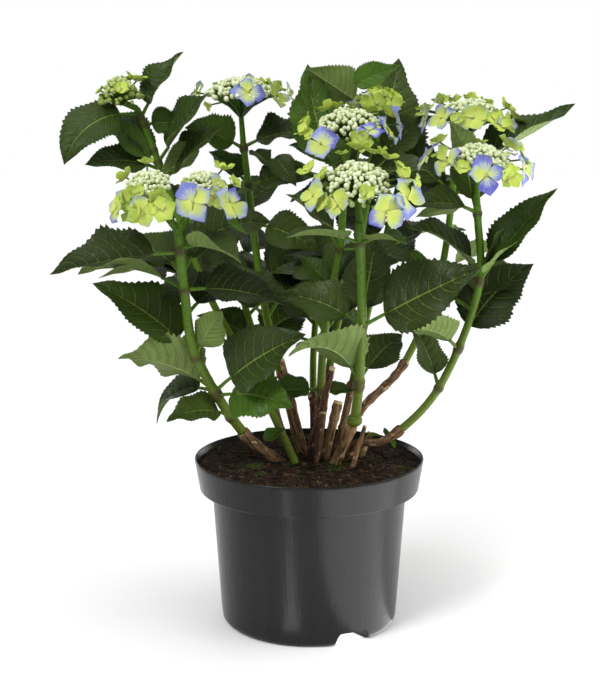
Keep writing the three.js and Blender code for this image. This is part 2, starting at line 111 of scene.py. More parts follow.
class Pile:
    """Collects points, faces, places, tones and grain of many surfaces and makes one mesh of them."""

    def __init__(self):
        self.points, self.faces, self.places, self.tones = [], [], [], []
        self.slots, self.cells, self.grains = [], [], []
        self.count = 0
        self.cell_count = 0
        self.mapped = self.grained = False

    def add(self, points, faces, place=None, tone=(0, 0, 0, 1), slot=0, cell=None, grain=None):
        points = np.asarray(points).reshape(-1, 3)
        self.mapped = self.mapped or place is not None
        self.grained = self.grained or grain is not None
        self.grains.append(points if grain is None else grain.reshape(-1, 3))
        place = np.zeros((len(points), 2)) if place is None else place.reshape(-1, 2)
        self.points.append(points)
        self.faces.append(faces + self.count)
        self.places.append(place[faces])
        self.tones.append(np.broadcast_to(np.asarray(tone, float), (len(points), 4)))
        self.slots.append(np.broadcast_to(slot, len(faces)))
        cell = np.zeros(len(faces), int) if cell is None else cell
        self.cells.append(cell + self.cell_count)
        self.cell_count += int(cell.max()) + 1
        self.count += len(points)

    def make(self, name, materials, slot, nodes=(), atlas=False, crisp=False):
        """One smooth mesh object of everything in the pile, riding on the plant's only body. A crisp one
        keeps an edge wherever its faces meet at more than CRISP degrees."""
        points, faces = np.concatenate(self.points) * MM, np.concatenate(self.faces)
        mesh = bpy.data.meshes.new(name)
        mesh.vertices.add(len(points))
        mesh.vertices.foreach_set("co", points.ravel())
        mesh.loops.add(faces.size)
        mesh.loops.foreach_set("vertex_index", faces.ravel())
        mesh.polygons.add(len(faces))
        mesh.polygons.foreach_set("loop_start", np.arange(len(faces)) * 4)
        for material in materials:
            mesh.materials.append(material)
        mesh.polygons.foreach_set("material_index", np.concatenate(self.slots).astype(np.int32))
        mesh.update(calc_edges=True)
        mesh.shade_smooth()
        places = np.concatenate(self.places)
        if self.mapped:
            layer = mesh.uv_layers.new(name="Place")
            layer.uv.foreach_set("vector", places.ravel().astype(np.float32))
        if self.grained:
            grain = mesh.attributes.new("grain", "FLOAT_VECTOR", "POINT")
            grain.data.foreach_set("vector", (np.concatenate(self.grains) * MM).ravel().astype(np.float32))
        tone = mesh.attributes.new("tone", "FLOAT_COLOR", "POINT")
        tone.data.foreach_set("color", np.concatenate(self.tones).ravel().astype(np.float32))
        if atlas:
            cells = np.concatenate(self.cells)
            side = math.ceil(math.sqrt(self.cell_count))
            corner = np.stack([cells % side, cells // side], -1)[:, None, :]
            inside = CELL_MARGIN + (1 - 2 * CELL_MARGIN) * np.clip(places, 0, 1)
            stamps = mesh.uv_layers.new(name="OFBake")
            stamps.uv.foreach_set("vector", ((corner + inside) / side).ravel().astype(np.float32))
        corners = points[faces]
        volume = sum(np.einsum("ij,ij->i", corners[:, 0], np.cross(corners[:, i], corners[:, i + 1])).sum()
                     for i in (1, 2)) / 6
        shells = bmesh.new()
        shells.from_mesh(mesh)
        bmesh.ops.remove_doubles(shells, verts=shells.verts, dist=MERGE)
        open_edges = sum(len(edge.link_faces) == 1 for edge in shells.edges)
        shells.to_mesh(mesh)
        shells.free()
        mesh.validate()
        if crisp:
            mesh.set_sharp_from_angle(angle=math.radians(CRISP))
        mesh.calc_loop_triangles()
        piece = bpy.data.objects.new(name, mesh)
        bpy.context.collection.objects.link(piece)
        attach(piece, "root")
        if nodes:
            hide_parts(*nodes)
        print(f"{name}: {len(mesh.loop_triangles)} triangles, {volume * 1e6:.1f} ml, {open_edges} open edges")


print("a grid of 3 by 4 points has", len(grid_faces(3, 4)), "faces")

# %% [markdown]
# A stem, a petiole and a flower ray are all tubes. A tube is a circle carried along a path: at each
# place on the path the circle stands square to the direction of travel.

# %% Tubes
NO_LENGTH = 1e-9
PINCH = 1e-3
GRAIN_SHIFT = 7


def unit(vectors):
    return vectors / np.maximum(np.linalg.norm(vectors, axis=-1, keepdims=True), NO_LENGTH)


def round_turn(count):
    """Angles once round a circle, without the last one, which would be the first again."""
    return np.linspace(0, 2 * np.pi, count, endpoint=False)


def tube(path, radius, sides, bumps=0.0):
    """Ring points: the path's point plus radius times a unit circle square to the path's direction.

    The radius may differ along the path, and bumps adds a relief in millimetres, rows by sides.
    """
    forward = unit(np.gradient(path, axis=0))
    across = unit(np.cross([0.0, 1.0, 0.0], forward))
    up = np.cross(forward, across)
    turn = round_turn(sides)
    reach = (np.broadcast_to(radius, len(path))[:, None] + bumps)[..., None]
    ring = np.cos(turn)[None, :, None] * across[:, None] + np.sin(turn)[None, :, None] * up[:, None]
    return path[:, None] + reach * ring


def closed_tube(pile, path, radius, sides, tone=(0, 0, 0, 1), bumps=0.0):
    """A tube whose two ends are drawn in to a point, so that it is closed. Its grain is the same circle,
    carried straight up by the distance along the path, from a height that differs from cane to cane."""
    steps = np.linalg.norm(np.diff(path, axis=0), axis=1)
    gone = np.concatenate([[0, 0], np.cumsum(steps), [steps.sum()]]) + GRAIN_SHIFT * path[0, 0]
    turn = round_turn(sides)
    thick = float(np.max(radius))
    grain = np.stack([np.broadcast_to(thick * np.cos(turn), (len(gone), sides)),
                      np.broadcast_to(thick * np.sin(turn), (len(gone), sides)),
                      np.broadcast_to(gone[:, None], (len(gone), sides))], -1)
    rings = tube(path, radius, sides, bumps)
    ends = [np.repeat(path[i][None, None], sides, axis=1) + PINCH * (rings[i] - path[i]) for i in (0, -1)]
    rings = np.concatenate([ends[0], rings, ends[1]])
    tone = np.asarray(tone, float)
    if tone.ndim == 2:
        tone = np.repeat(np.concatenate([tone[:1], tone, tone[-1:]]), sides, axis=0)
    pile.add(rings, grid_faces(len(rings), sides, closed=True), tone=tone, grain=grain)


first_ring = tube(np.array([[0, 0, 0], [0, 0, 9.0]]), 2.0, 8)[0]
print("a tube of radius 2 mm is", np.ptp(first_ring[:, 1]), "mm across")

# %% [markdown]
# ## Materials
#
# One node group serves every living surface: it mottles a colour with fine noise, because no leaf or
# stem is one flat green. Each material is a Principled shader with its own group values around it.

# %% Node helpers
DARK = 10


def new_material(name, roughness=0.5, specular=0.5):
    material = bpy.data.materials.new(name)
    material.use_nodes = True
    shader = material.node_tree.nodes["Principled BSDF"]
    shader.inputs["Roughness"].default_value = roughness
    shader.inputs["Specular IOR Level"].default_value = specular
    return material, material.node_tree, shader


def node(tree, kind, values=None, **settings):
    """A shader node with its settings, and its inputs given as values or as sockets to link."""
    made = tree.nodes.new("ShaderNode" + kind)
    for name, value in settings.items():
        setattr(made, name, value)
    for name, value in (values or {}).items():
        if isinstance(value, bpy.types.NodeSocket):
            tree.links.new(value, made.inputs[name])
        else:
            made.inputs[name].default_value = value
    return made


def maths(tree, operation, a, b=0.0):
    return node(tree, "Math", {0: a, 1: b}, operation=operation).outputs[0]


def plus(tree, a, b):
    return maths(tree, "ADD", a, b)


def minus(tree, a, b):
    return maths(tree, "SUBTRACT", a, b)


def times(tree, a, b):
    return maths(tree, "MULTIPLY", a, b)


def mix(tree, share, a, b):
    """Colour a where share is 0, colour b where it is 1."""
    made = tree.nodes.new("ShaderNodeMix")
    made.data_type = "RGBA"
    for socket, value in ((made.inputs[0], share), (made.inputs[6], a), (made.inputs[7], b)):
        if isinstance(value, bpy.types.NodeSocket):
            tree.links.new(value, socket)
        else:
            socket.default_value = value
    return made.outputs[2]


def rise(tree, value, low, high):
    """0 below low, 1 above high, smooth between."""
    return node(tree, "MapRange", {"Value": value, "From Min": low, "From Max": high},
                interpolation_type="SMOOTHSTEP").outputs[0]


def scaled(tree, place, scale):
    """A place stretched along each axis, for a pattern that is longer one way than another."""
    return node(tree, "Mapping", {"Vector": place, "Scale": scale}).outputs[0]


def noise(tree, place, scale, detail, roughness=0.5):
    values = {"Vector": place, "Scale": scale, "Detail": detail, "Roughness": roughness}
    return node(tree, "TexNoise", values).outputs[0]


def tones(tree):
    """The first three of a surface's four tones."""
    tone = node(tree, "Attribute", attribute_name="tone").outputs["Color"]
    return node(tree, "SeparateColor", {"Color": tone}).outputs


def linear(value):
    """The sRGB curve undone: a line below DARK, and above it a shifted power of 2.4."""
    return ((value / 255 + 0.055) / 1.055) ** 2.4 if value > DARK else value / 255 / 12.92


def colour(red, green, blue):
    """A colour picked on a screen, from 0 to 255, as Blender's linear values."""
    return (linear(red), linear(green), linear(blue), 1)


def bump(tree, shader, height, strength, distance):
    made = node(tree, "Bump", {"Height": height, "Strength": strength, "Distance": distance})
    tree.links.new(made.outputs[0], shader.inputs["Normal"])


print("mid grey as a linear value:", round(colour(128, 128, 128)[0], 3))

# %% [markdown]
# The mottle group: two layers of noise in object space, one broad and one fine, darken and lighten
# the colour that goes in. It puts out the colour and the noise itself, for a Bump node.

# %% Mottle group
mottle = bpy.data.node_groups.new("mottle", "ShaderNodeTree")
SOCKETS = (("Colour", "INPUT", "Color"), ("Scale", "INPUT", "Float"), ("Depth", "INPUT", "Float"),
           ("Colour", "OUTPUT", "Color"), ("Height", "OUTPUT", "Float"))
for name, way, kind in SOCKETS:
    mottle.interface.new_socket(name, in_out=way, socket_type="NodeSocket" + kind)
entry, leaving = mottle.nodes.new("NodeGroupInput"), mottle.nodes.new("NodeGroupOutput")
place = node(mottle, "TexCoord").outputs["Object"]
broad = noise(mottle, place, entry.outputs["Scale"], 3.0)
fine = noise(mottle, place, times(mottle, entry.outputs["Scale"], 7.0), 4.0)
both = plus(mottle, times(mottle, broad, 0.6), times(mottle, fine, 0.4))
swing = times(mottle, minus(mottle, both, 0.5), entry.outputs["Depth"])
value = plus(mottle, swing, 1.0)
bright = node(mottle, "HueSaturation", {"Color": entry.outputs["Colour"], "Value": value})
mottle.links.new(bright.outputs[0], leaving.inputs["Colour"])
mottle.links.new(both, leaving.inputs["Height"])


def mottled(tree, base, scale, depth):
    """The mottle group placed in a material, with its own colour, scale and depth."""
    group = tree.nodes.new("ShaderNodeGroup")
    group.node_tree = mottle
    tree.links.new(base, group.inputs["Colour"])
    group.inputs["Scale"].default_value = scale
    group.inputs["Depth"].default_value = depth
    return group.outputs["Colour"], group.outputs["Height"]


print("mottle group:", [socket.name for socket in mottle.interface.items_tree])

# %% [markdown]
# ## The pot
#
# A nursery pot is blown or moulded from dark plastic: a slightly conical wall with a rounded foot, a
# step, and a wider collar with a thin lip. Drainage notches are cut into the foot, so that water
# runs off on a flat floor. The pot is a profile turned about its axis. The notches need no Boolean:
# where a point of the profile lies inside a notch, its radius is simply drawn in. The hollow inside,
# which the compost fills, starts above the notches, so that nothing of it shows through them.

# %% Pot sizes
POT = dict(height=168, rim=115, collar_foot=110.3, collar=31, shoulder=97.8, base=88.3,
           wall=2.2, floor=14, corner=7, fillet=4, rounding=2, lip=0.8, inner_lip=0.5)
NOTCH = dict(width=38, height=12, depth=60, taper=0.72, side=0.7, roof=0.6, turns=(299, 59, 179))
STEP = POT["height"] - POT["collar"]
# Rows lie close from this radius on the underside to this height on the wall, where notches are cut.
FINE_RADIUS, FINE_HEIGHT = 66, 14
POT_ROWS = dict(underside=12, foot=12, notch=14, wall=20, fillet=7, ledge=2, corner=6, collar=8)


def wall_radius(z):
    """Outer radius of the lower wall: a straight line from the foot to the shoulder."""
    return POT["base"] + (POT["shoulder"] - POT["base"]) * z / STEP


def arc(start, control, end, count):
    """Points on the curve that leaves start towards control and reaches end from control."""
    t = np.linspace(0, 1, count)[:, None]
    start, control, end = (np.array(p, float) for p in (start, control, end))
    return (1 - t) ** 2 * start + 2 * t * (1 - t) * control + t ** 2 * end


def between(start, end, count):
    return np.linspace(start, end, count + 2)[1:-1]


def pot_profile():
    """Radius and height round the pot's wall, from the middle of the underside to the middle of the floor."""
    p, rows = POT, POT_ROWS
    foot = arc((p["base"] - p["corner"], 0), (p["base"], 0), (wall_radius(p["corner"]), p["corner"]),
               rows["foot"])
    fillet = arc((wall_radius(STEP - p["fillet"]), STEP - p["fillet"]), (wall_radius(STEP), STEP),
                 (wall_radius(STEP) + p["fillet"], STEP), rows["fillet"])
    collar = arc((p["collar_foot"] - p["rounding"], STEP), (p["collar_foot"], STEP),
                 (p["collar_foot"], STEP + p["rounding"]), rows["corner"])
    top, lip, inner_lip = p["height"], p["lip"], p["inner_lip"]
    rim = np.array([(p["rim"], top - lip), (p["rim"] - lip * 0.3, top - lip * 0.3), (p["rim"] - lip, top),
                    (p["rim"] - p["wall"] + inner_lip, top), (p["rim"] - p["wall"], top - inner_lip)])
    inner = np.array([(p["collar_foot"] - p["wall"], STEP + p["wall"]), (wall_radius(STEP) - p["wall"], STEP),
                      (wall_radius(p["floor"]) - p["wall"], p["floor"]), (0, p["floor"])])
    fine_end = (wall_radius(FINE_HEIGHT), FINE_HEIGHT)
    return np.concatenate([
        [(0, 0), (40, 0), (60, 0)], between((FINE_RADIUS, 0), foot[0], rows["underside"]), foot,
        between(foot[-1], fine_end, rows["notch"]), between(fine_end, fillet[0], rows["wall"]), fillet,
        between(fillet[-1], collar[0], rows["ledge"]), collar,
        between(collar[-1], rim[0], rows["collar"]), rim, inner])


print("the pot's wall at its foot and its shoulder, mm:", wall_radius(0), wall_radius(STEP))

# %% [markdown]
# Turning the profile gives a grid of rows and columns. The columns are spread evenly, with more of them
# across each notch, so that its edges come out sharp. The notch cuts all rows but the last few, which
# lie on the inner side.

# %% Turn the pot
AROUND = 160
NOTCH_COLUMNS, NOTCH_REACH = 84, 0.26
INNER_ROWS = 5


def turned_pot():
    """Radius r and height z at angle a: the profile turned, with r drawn in to the notch's depth where the
    distance along the wall from a notch's middle is less than its half width, which narrows upwards."""
    profile = pot_profile()
    across = np.linspace(-NOTCH_REACH, NOTCH_REACH, NOTCH_COLUMNS)
    near = np.concatenate([np.radians(t) + across for t in NOTCH["turns"]])
    turn = np.unique(np.round(np.concatenate([round_turn(AROUND), near % (2 * np.pi)]), 5))
    radius, height = profile[:, 0][:, None], profile[:, 1][:, None]
    turn = turn[None]
    cut = np.zeros((len(profile), turn.shape[1]))
    for middle in np.radians(NOTCH["turns"]):
        off = np.abs((turn - middle + np.pi) % (2 * np.pi) - np.pi) * POT["base"]
        half = NOTCH["width"] / 2 * (1 - (1 - NOTCH["taper"]) * np.clip(height / NOTCH["height"], 0, 1) ** 2)
        inside = np.minimum((half - off) / NOTCH["side"], (NOTCH["height"] - height) / NOTCH["roof"])
        cut = np.maximum(cut, np.clip(inside, 0, 1))
    outside = np.arange(len(profile))[:, None] < len(profile) - INNER_ROWS
    depth = np.maximum(radius - (POT["base"] - NOTCH["depth"]), 0) * outside
    radius = radius - cut * depth
    return np.stack([radius * np.cos(turn), radius * np.sin(turn), height + 0 * turn], -1)


pot_points = turned_pot()
print("the pot's rows, columns and axes:", pot_points.shape)

# %% [markdown]
# The plastic is dark grey with a half gloss. Its mould leaves faint upright streaks, so the noise is
# squeezed sideways and stretched upwards before it drives colour and roughness.

# %% Pot plastic
plastic, tree, shader = new_material("dark_plastic", roughness=0.3, specular=0.3)
place = node(tree, "TexCoord").outputs["Object"]
streak = noise(tree, scaled(tree, place, (70, 70, 1.6)), 1.0, 3.0)
dusty = noise(tree, place, 28.0, 6.0, 0.7)
tree.links.new(mix(tree, rise(tree, streak, 0.35, 0.75), colour(10, 10, 9), colour(19, 18, 17)),
               shader.inputs["Base Color"])
gloss = plus(tree, times(tree, streak, 0.16), times(tree, dusty, 0.14))
tree.links.new(plus(tree, gloss, 0.12), shader.inputs["Roughness"])
lines = noise(tree, scaled(tree, place, (330, 330, 1.2)), 1.0, 1.0)
bump(tree, shader, plus(tree, times(tree, streak, 0.4), lines), 0.2, 0.0008)

pot_pile = Pile()
pot_pile.add(pot_points, grid_faces(*pot_points.shape[:2], closed=True))
pot_pile.make("nursery_pot", [plastic], "pot_plastic", ["pot"], crisp=True)

# %% [markdown]
# ## The compost
#
# Potting compost is dark, crumbly peat with pale fibres and a little moss. Its surface is a disc of
# rings, raised and lowered by noise, and it mounds a little in the middle, round the canes. Below the
# surface the rings follow the pot's inner wall down to its floor. Crumbs and fibres lie on top.

# %% Compost surface
SOIL_TOP = 163
SLACK, LIFT = 0.9, 0.6
SOIL_RADIUS = POT["rim"] - POT["wall"] - SLACK
SOIL_RINGS, SOIL_SIDES = 90, 220
MOUND = dict(bell=2.5, spread=60, fall=1.5)
# Each layer of lumps: pitch and height in millimetres, and a seed.
LUMPS = ((9, 1.3, 3), (2.2, 0.7, 4))
WAVES = 5


def soft_noise(x, y, seed, octaves=3):
    """A smooth random relief between about -1 and 1: sums of waves of random direction, doubling in pitch."""
    random = np.random.default_rng(seed)
    total = np.zeros(np.broadcast(x, y).shape)
    for octave in range(octaves):
        for _ in range(WAVES):
            angle, phase = random.uniform(0, 2 * np.pi, 2)
            pitch = 2 ** octave * random.uniform(0.7, 1.3)
            total = total + np.sin(pitch * (x * np.cos(angle) + y * np.sin(angle)) + phase) / 2 ** octave
    return total / WAVES


def soil_height(x, y):
    """Height of the compost: a low bell in the middle, less a fall that grows with the fourth power of the
    distance from it, with lumps of two sizes."""
    bell = MOUND["bell"] * np.exp(-(x ** 2 + y ** 2) / MOUND["spread"] ** 2)
    height = SOIL_TOP + (bell - MOUND["fall"] * (np.hypot(x, y) / SOIL_RADIUS) ** 4)
    for pitch, size, seed in LUMPS:
        height = height + size * soft_noise(x / pitch, y / pitch, seed)
    return height


ring = np.linspace(0, 1, SOIL_RINGS)[:, None] * SOIL_RADIUS
turn = round_turn(SOIL_SIDES)[None]
soil_x, soil_y = ring * np.cos(turn), ring * np.sin(turn)
soil_points = np.stack([soil_x, soil_y, soil_height(soil_x, soil_y)], -1)
inner_wall = [(POT["collar_foot"], STEP + POT["wall"]), (wall_radius(STEP), STEP),
              (wall_radius(POT["floor"]), POT["floor"])]
below = [(radius - POT["wall"] - SLACK, height + LIFT) for radius, height in inner_wall]
below = np.array([*below, (0, POT["floor"] + LIFT)])[:, :, None]
sides = np.stack([below[:, 0] * np.cos(turn), below[:, 0] * np.sin(turn), below[:, 1] + 0 * turn], -1)
soil_pile = Pile()
soil_faces = grid_faces(SOIL_RINGS + len(below), SOIL_SIDES, closed=True)[:, ::-1]
soil_pile.add(np.concatenate([soil_points, sides]), soil_faces)
print("compost surface, mm:", soil_points[..., 2].min().round(1), "to", soil_points[..., 2].max().round(1))

# %% [markdown]
# Peat is dark brown in fine lumps, and moss covers it in a few broad patches.

# %% Compost material
peat, tree, shader = new_material("peat", roughness=0.95, specular=0.15)
place = node(tree, "TexCoord").outputs["Object"]
lumps = noise(tree, place, 160.0, 8.0, 0.7)
patches = noise(tree, place, 34.0, 4.0)
brown = mix(tree, rise(tree, lumps, 0.42, 0.68), colour(16, 11, 8), colour(66, 49, 34))
mossy = mix(tree, rise(tree, patches, 0.57, 0.66), brown, colour(50, 66, 20))
tree.links.new(mossy, shader.inputs["Base Color"])
bump(tree, shader, lumps, 0.9, 0.002)
soil_pile.make("compost_top", [peat], "compost", ["compost"])

# %% [markdown]
# Crumbs are small rough balls. Their distance from the middle is the square root of a random share,
# which strews them evenly over the disc. Fibres are thin tubes, bent sideways and arched upwards.

# %% Crumbs and fibres
CRUMBS = 1500
CRUMB_RINGS, CRUMB_SIDES = 4, 5
FIBRES = 260
FIBRE = dict(reach=90, length=(5, 16), bend=0.9, off=0.7, arch=1.6, radius=(0.2, 0.45))
MOST = 6.3  # a little more than the greatest random number that a fibre draws
random = np.random.default_rng(21)


def ball(rings, sides):
    """A unit ball as rings from foot to top: the ring at tilt t has radius sin t and height -cos t."""
    tilt = np.linspace(0, np.pi, rings)[:, None]
    turn = round_turn(sides)[None]
    return np.stack([np.sin(tilt) * np.cos(turn), np.sin(tilt) * np.sin(turn), -np.cos(tilt) + 0 * turn], -1)


crumb_pile = Pile()
crumb = ball(CRUMB_RINGS, CRUMB_SIDES).reshape(-1, 3)
crumb_faces = grid_faces(CRUMB_RINGS, CRUMB_SIDES, closed=True)
reach = SOIL_RADIUS * np.sqrt(random.uniform(0, 0.97, CRUMBS))
around = random.uniform(0, 2 * np.pi, CRUMBS)
size = 0.6 + 1.8 * random.uniform(0, 1, CRUMBS) ** 3
flat = random.uniform(0.4, 1.0, (CRUMBS, 3))
for i in range(CRUMBS):
    x, y = reach[i] * np.cos(around[i]), reach[i] * np.sin(around[i])
    rough = 1 + 0.3 * random.uniform(-1, 1, (len(crumb), 1))
    rough[:CRUMB_SIDES], rough[-CRUMB_SIDES:] = rough[0], rough[-1]
    centre = np.array([x, y, soil_height(x, y) + 0.2 * size[i]])
    crumb_pile.add(crumb * rough * flat[i] * size[i] + centre, crumb_faces)
for _ in range(FIBRES):
    angle, away, along = random.uniform(0, 2 * np.pi, 3)
    start = FIBRE["reach"] * np.sqrt(away / MOST) * np.array([np.cos(angle), np.sin(angle)])
    t = np.linspace(0, 1, 6)[:, None]
    length = random.uniform(*FIBRE["length"])
    bend = random.uniform(-FIBRE["bend"], FIBRE["bend"])
    xy = start + length * t * np.concatenate([np.cos(along + bend * t), np.sin(along + bend * t)], 1)
    arch = FIBRE["arch"] * np.sin(np.pi * t[:, 0]) * random.uniform(0, 1)
    z = soil_height(xy[:, 0], xy[:, 1]) + FIBRE["off"] + arch
    closed_tube(crumb_pile, np.column_stack([xy, z]), random.uniform(*FIBRE["radius"]), 3)
crumbs, tree, shader = new_material("crumbs_and_fibres", roughness=0.95, specular=0.15)
place = node(tree, "TexCoord").outputs["Object"]
spread = noise(tree, place, 90.0, 2.0)
tree.links.new(mix(tree, rise(tree, spread, 0.4, 0.66), colour(24, 16, 11), colour(92, 70, 48)),
               shader.inputs["Base Color"])
crumb_pile.make("crumbs", [crumbs], "compost")

# %% [markdown]
# ## The plan of the plant
#
# These tables are the plant's plan, the same one that the CAD model grows from. Turns are counted
# from +X round the vertical, so 90 is the back and 270 the front. A leaf is written as height on the
# stem, turn, rise, length, droop, roll and fold: it sets out at its rise, bends down by its droop, is
# rolled about its midrib and folded up along it, by 20 degrees if not said otherwise.

# %% Shoots, stubs and heads
FOOT = SOIL_TOP - 10
FOLD = 20
FORKED = 0.985
SHOOTS = dict(
    left_front=dict(
        route=[[-18, 0, FOOT], [-66, -20, 198], [-108, -50, 279], [-118, -60, 345], [-122, -70, 405]],
        thick=5.5, bare=198, fill=[2, 300, 380],
        forks=[[-138, -72, 424], [-106, -74, 426]],
        leaves=[
            [215, 210, 30, 72, 55, -35], [238, 325, 15, 92, 30, 50, 10],
            [242, 200, 45, 105, 45, 50, 30], [242, 330, 43, 122, 20, 70],
            [242, 150, 15, 90, 90, -30],
            [279, 177, 48, 122, 25, -38], [279, 310, 60, 65, 20, -60],
            [345, 160, 30, 117, 50, 20], [345, 12, 5, 98, 30, 35],
            [381, 197, 0, 122, 15, -25, 30], [381, 25, 35, 98, 40, 45], [385, 318, 15, 82, 40, 0, 40],
        ],
    ),
    left_back=dict(
        route=[[-8, -18, FOOT], [-54, 8, 246], [-103, 40, 329], [-158, 70, 470], [-175, 75, 512]],
        thick=4.2, bare=250, fill=[2, 300, 420],
        leaves=[
            [329, 155, 38, 125, 40, -20], [329, 340, 12, 95, 30, 35],
            [450, 200, 25, 80, 40, -45], [440, 328, 45, 88, 15, 50],
            [470, 150, 40, 85, 40, -30], [458, 335, 52, 92, 5, 40],
            [504, 208, 15, 105, 90, -40, 5], [495, 10, 15, 40, 30, 65], [502, 12, 64, 80, 15, 30, 30],
            [450, 178, 50, 82, 20, -40],
        ],
    ),
    mid_left=dict(
        route=[[-6, 18, FOOT], [-31, 46, 250], [-49, 70, 326], [-63, 90, 433], [-68, 95, 476]],
        thick=4.5, bare=245, fill=[2, 280, 350],
        leaves=[
            [394, 203, 20, 70, 40, -30], [394, 340, -5, 80, 30, 60],
            [433, 150, 50, 60, 30, -30], [430, 335, 30, 80, 40, 50],
            [470, 192, 35, 66, 30, -55], [472, 350, 30, 75, 35, 35],
        ],
    ),
    centre_front=dict(
        route=[[20, -12, FOOT], [44, -30, 214], [49, -60, 310], [46, -80, 391], [45, -84, 411]],
        thick=5.2, bare=214, fill=[0, 214, 411],
        leaves=[
            [248, 222, 72, 112, 95, 25, 25], [254, 50, 42, 80, 30, 30],
            [310, 161, 38, 88, 40, -50], [310, 341, 31, 128, 5, 55, 10], [310, 60, 75, 90, 10, 20, 10],
            [391, 212, 22, 82, 30, 0], [391, 307, 20, 66, 30, 0],
        ],
    ),
    centre_mid=dict(
        route=[[9, 14, FOOT], [15, 20, 288], [30, 15, 374], [35, 10, 458]],
        thick=4.5, bare=225, fill=[2, 270, 350],
        leaves=[
            [232, 190, 5, 58, 10, -40], [232, 350, 5, 34, 10, 40],
            [334, 2, 47, 70, 20, 30], [334, 150, 50, 50, 20, -40],
            [374, 219, 56, 90, 30, -40], [374, 356, 5, 80, 30, 20],
            [445, 346, 25, 88, 40, 30],
            [440, 118, 32, 143, -50, 0, 15],
        ],
    ),
    centre_back=dict(
        route=[[8, 32, FOOT], [27, 55, 282], [53, 80, 377], [71, 92, 490]],
        thick=4.5, bare=250, fill=[3, 280, 440],
        leaves=[
            [444, 156, 37, 100, 40, -40], [444, 21, 60, 95, 40, 40], [470, 65, 40, 116, -30, 30, 5],
        ],
    ),
    right_front=dict(
        route=[
            [30, 4, FOOT], [48, -12, 184], [79, -15, 190], [127, -20, 242], [162, -30, 340], [158, -40, 423],
        ],
        thick=4.6, bare=200, fill=[1, 300, 340],
        leaves=[
            [242, 140, 72, 72, 20, 0, 10],
            [281, 225, 45, 82, 50, 30], [284, 15, 66, 112, 40, 45, 10],
            [350, 205, 60, 98, 50, -30], [350, 0, 56, 114, 10, 38, 25], [352, 30, 55, 75, 10, -40],
            [348, 315, 60, 62, 30, 30],
            [415, 200, 30, 72, 50, -30], [415, 105, 45, 85, -40, 0],
        ],
    ),
    right_back=dict(
        route=[[24, 20, FOOT], [53, 25, 209], [99, 45, 256], [137, 70, 347], [153, 84, 480]],
        thick=4.4, bare=256, fill=[1, 390, 440],
        leaves=[
            [347, 192, 26, 60, 30, -20], [347, 345, 30, 85, 20, -20],
            [455, 350, 15, 135, -25, 20, 25], [425, 160, 45, 95, 30, -40],
            [462, 285, 30, 50, 60, 0],
        ],
    ),
    back_right=dict(
        route=[[28, 40, FOOT], [62, 85, 300], [98, 128, 440]],
        thick=4.2, bare=230, fill=[4, 320, 430],
        leaves=[[436, 95, 75, 115, 15, 0, 10], [436, 280, 20, 70, 60, 0]],
    ),
    back_left=dict(
        route=[[-20, 38, FOOT], [-60, 95, 280], [-100, 150, 400]],
        thick=4.2, bare=230, fill=[5, 250, 396],
        leaves=[],
    ),
    back_centre=dict(
        route=[[6, 50, FOOT], [5, 100, 250], [12, 165, 320]],
        thick=4.2, bare=215, fill=[3, 255, 305],
        leaves=[],
    ),
)

# Cut and broken stubs of last year's wood: foot and end, thickness at both.
STUBS = dict(
    tall=[[-4, 0, FOOT], [23, -10, 261], 3.8, 3.2],
    short=[[12, -4, FOOT], [29, 0, 224], 4.5, 4.8],
    dark=[[5, -17, FOOT], [14, -12, 216], 3, 2.6],
    low=[[40, -26, FOOT], [55, -24, 205], 2.6, 2.2],
    right=[[48, 6, FOOT], [62, 10, 190], 3, 3.2],
    left=[[0, 8, FOOT], [-28, 28, 262], 3.4, 2.8],
)

# Each flower head: the shoot and fork it grows from, the centre of its dome, the turn and angle by
# which it leans, and the dome's radius. The one at the back also has the radius of its ring of florets
# and their kinds in turn, a dot for none; the other heads' florets are listed one by one further down.
HEADS = dict(
    left_small=dict(shoot='left_back', centre=[-192, 67, 529], turn=180, lean=10, dome=23),
    left_front_a=dict(shoot='left_front', fork=0, centre=[-149, -72, 442], turn=255, lean=35, dome=20),
    left_front_b=dict(shoot='left_front', fork=1, centre=[-96, -75, 442], turn=285, lean=30, dome=20),
    mid_left=dict(shoot='mid_left', centre=[-70, 95, 523], turn=270, lean=5, dome=36),
    centre_mid=dict(shoot='centre_mid', centre=[39, 10, 495], turn=270, lean=18, dome=31),
    centre_back=dict(shoot='centre_back', centre=[69, 90, 519], turn=270, lean=15, dome=16),
    centre_front=dict(shoot='centre_front', centre=[43, -90, 446], turn=270, lean=35, dome=30),
    right_back=dict(shoot='right_back', centre=[165, 84, 503], turn=270, lean=12, dome=32),
    back_centre=dict(shoot='back_centre', centre=[13, 172, 350], turn=90, lean=20, dome=28, ring=42,
                     florets='LYB.BLYBLBYB'),
    right_front=dict(shoot='right_front', centre=[157, -45, 463], turn=270, lean=20, dome=28),
)
print("shoots:", len(SHOOTS), "stubs:", len(STUBS), "heads:", len(HEADS))

# %% [markdown]
# ## Routes
#
# A stem wanders smoothly through a few points. A Catmull-Rom curve does that: between two points it
# is a cubic whose slope at each point is half the step from the point before to the point after.

# %% Routes
SEARCH_STEPS = 4001


def route_places(points, shares):
    """Places on the curve through the points, at shares of its course from 0 to 1."""
    points = np.array(points, float)
    padded = np.concatenate([[2 * points[0] - points[1]], points, [2 * points[-1] - points[-2]]])
    course = np.clip(shares, 0, 1) * (len(points) - 1)
    piece = np.minimum(course.astype(int), len(points) - 2)
    t = (course - piece)[:, None]
    before, start, end, after = (padded[piece + i] for i in range(4))
    slope_in, slope_out = (end - before) / 2, (after - start) / 2
    return (start + slope_in * t + (3 * (end - start) - 2 * slope_in - slope_out) * t ** 2
            + (2 * (start - end) + slope_in + slope_out) * t ** 3)


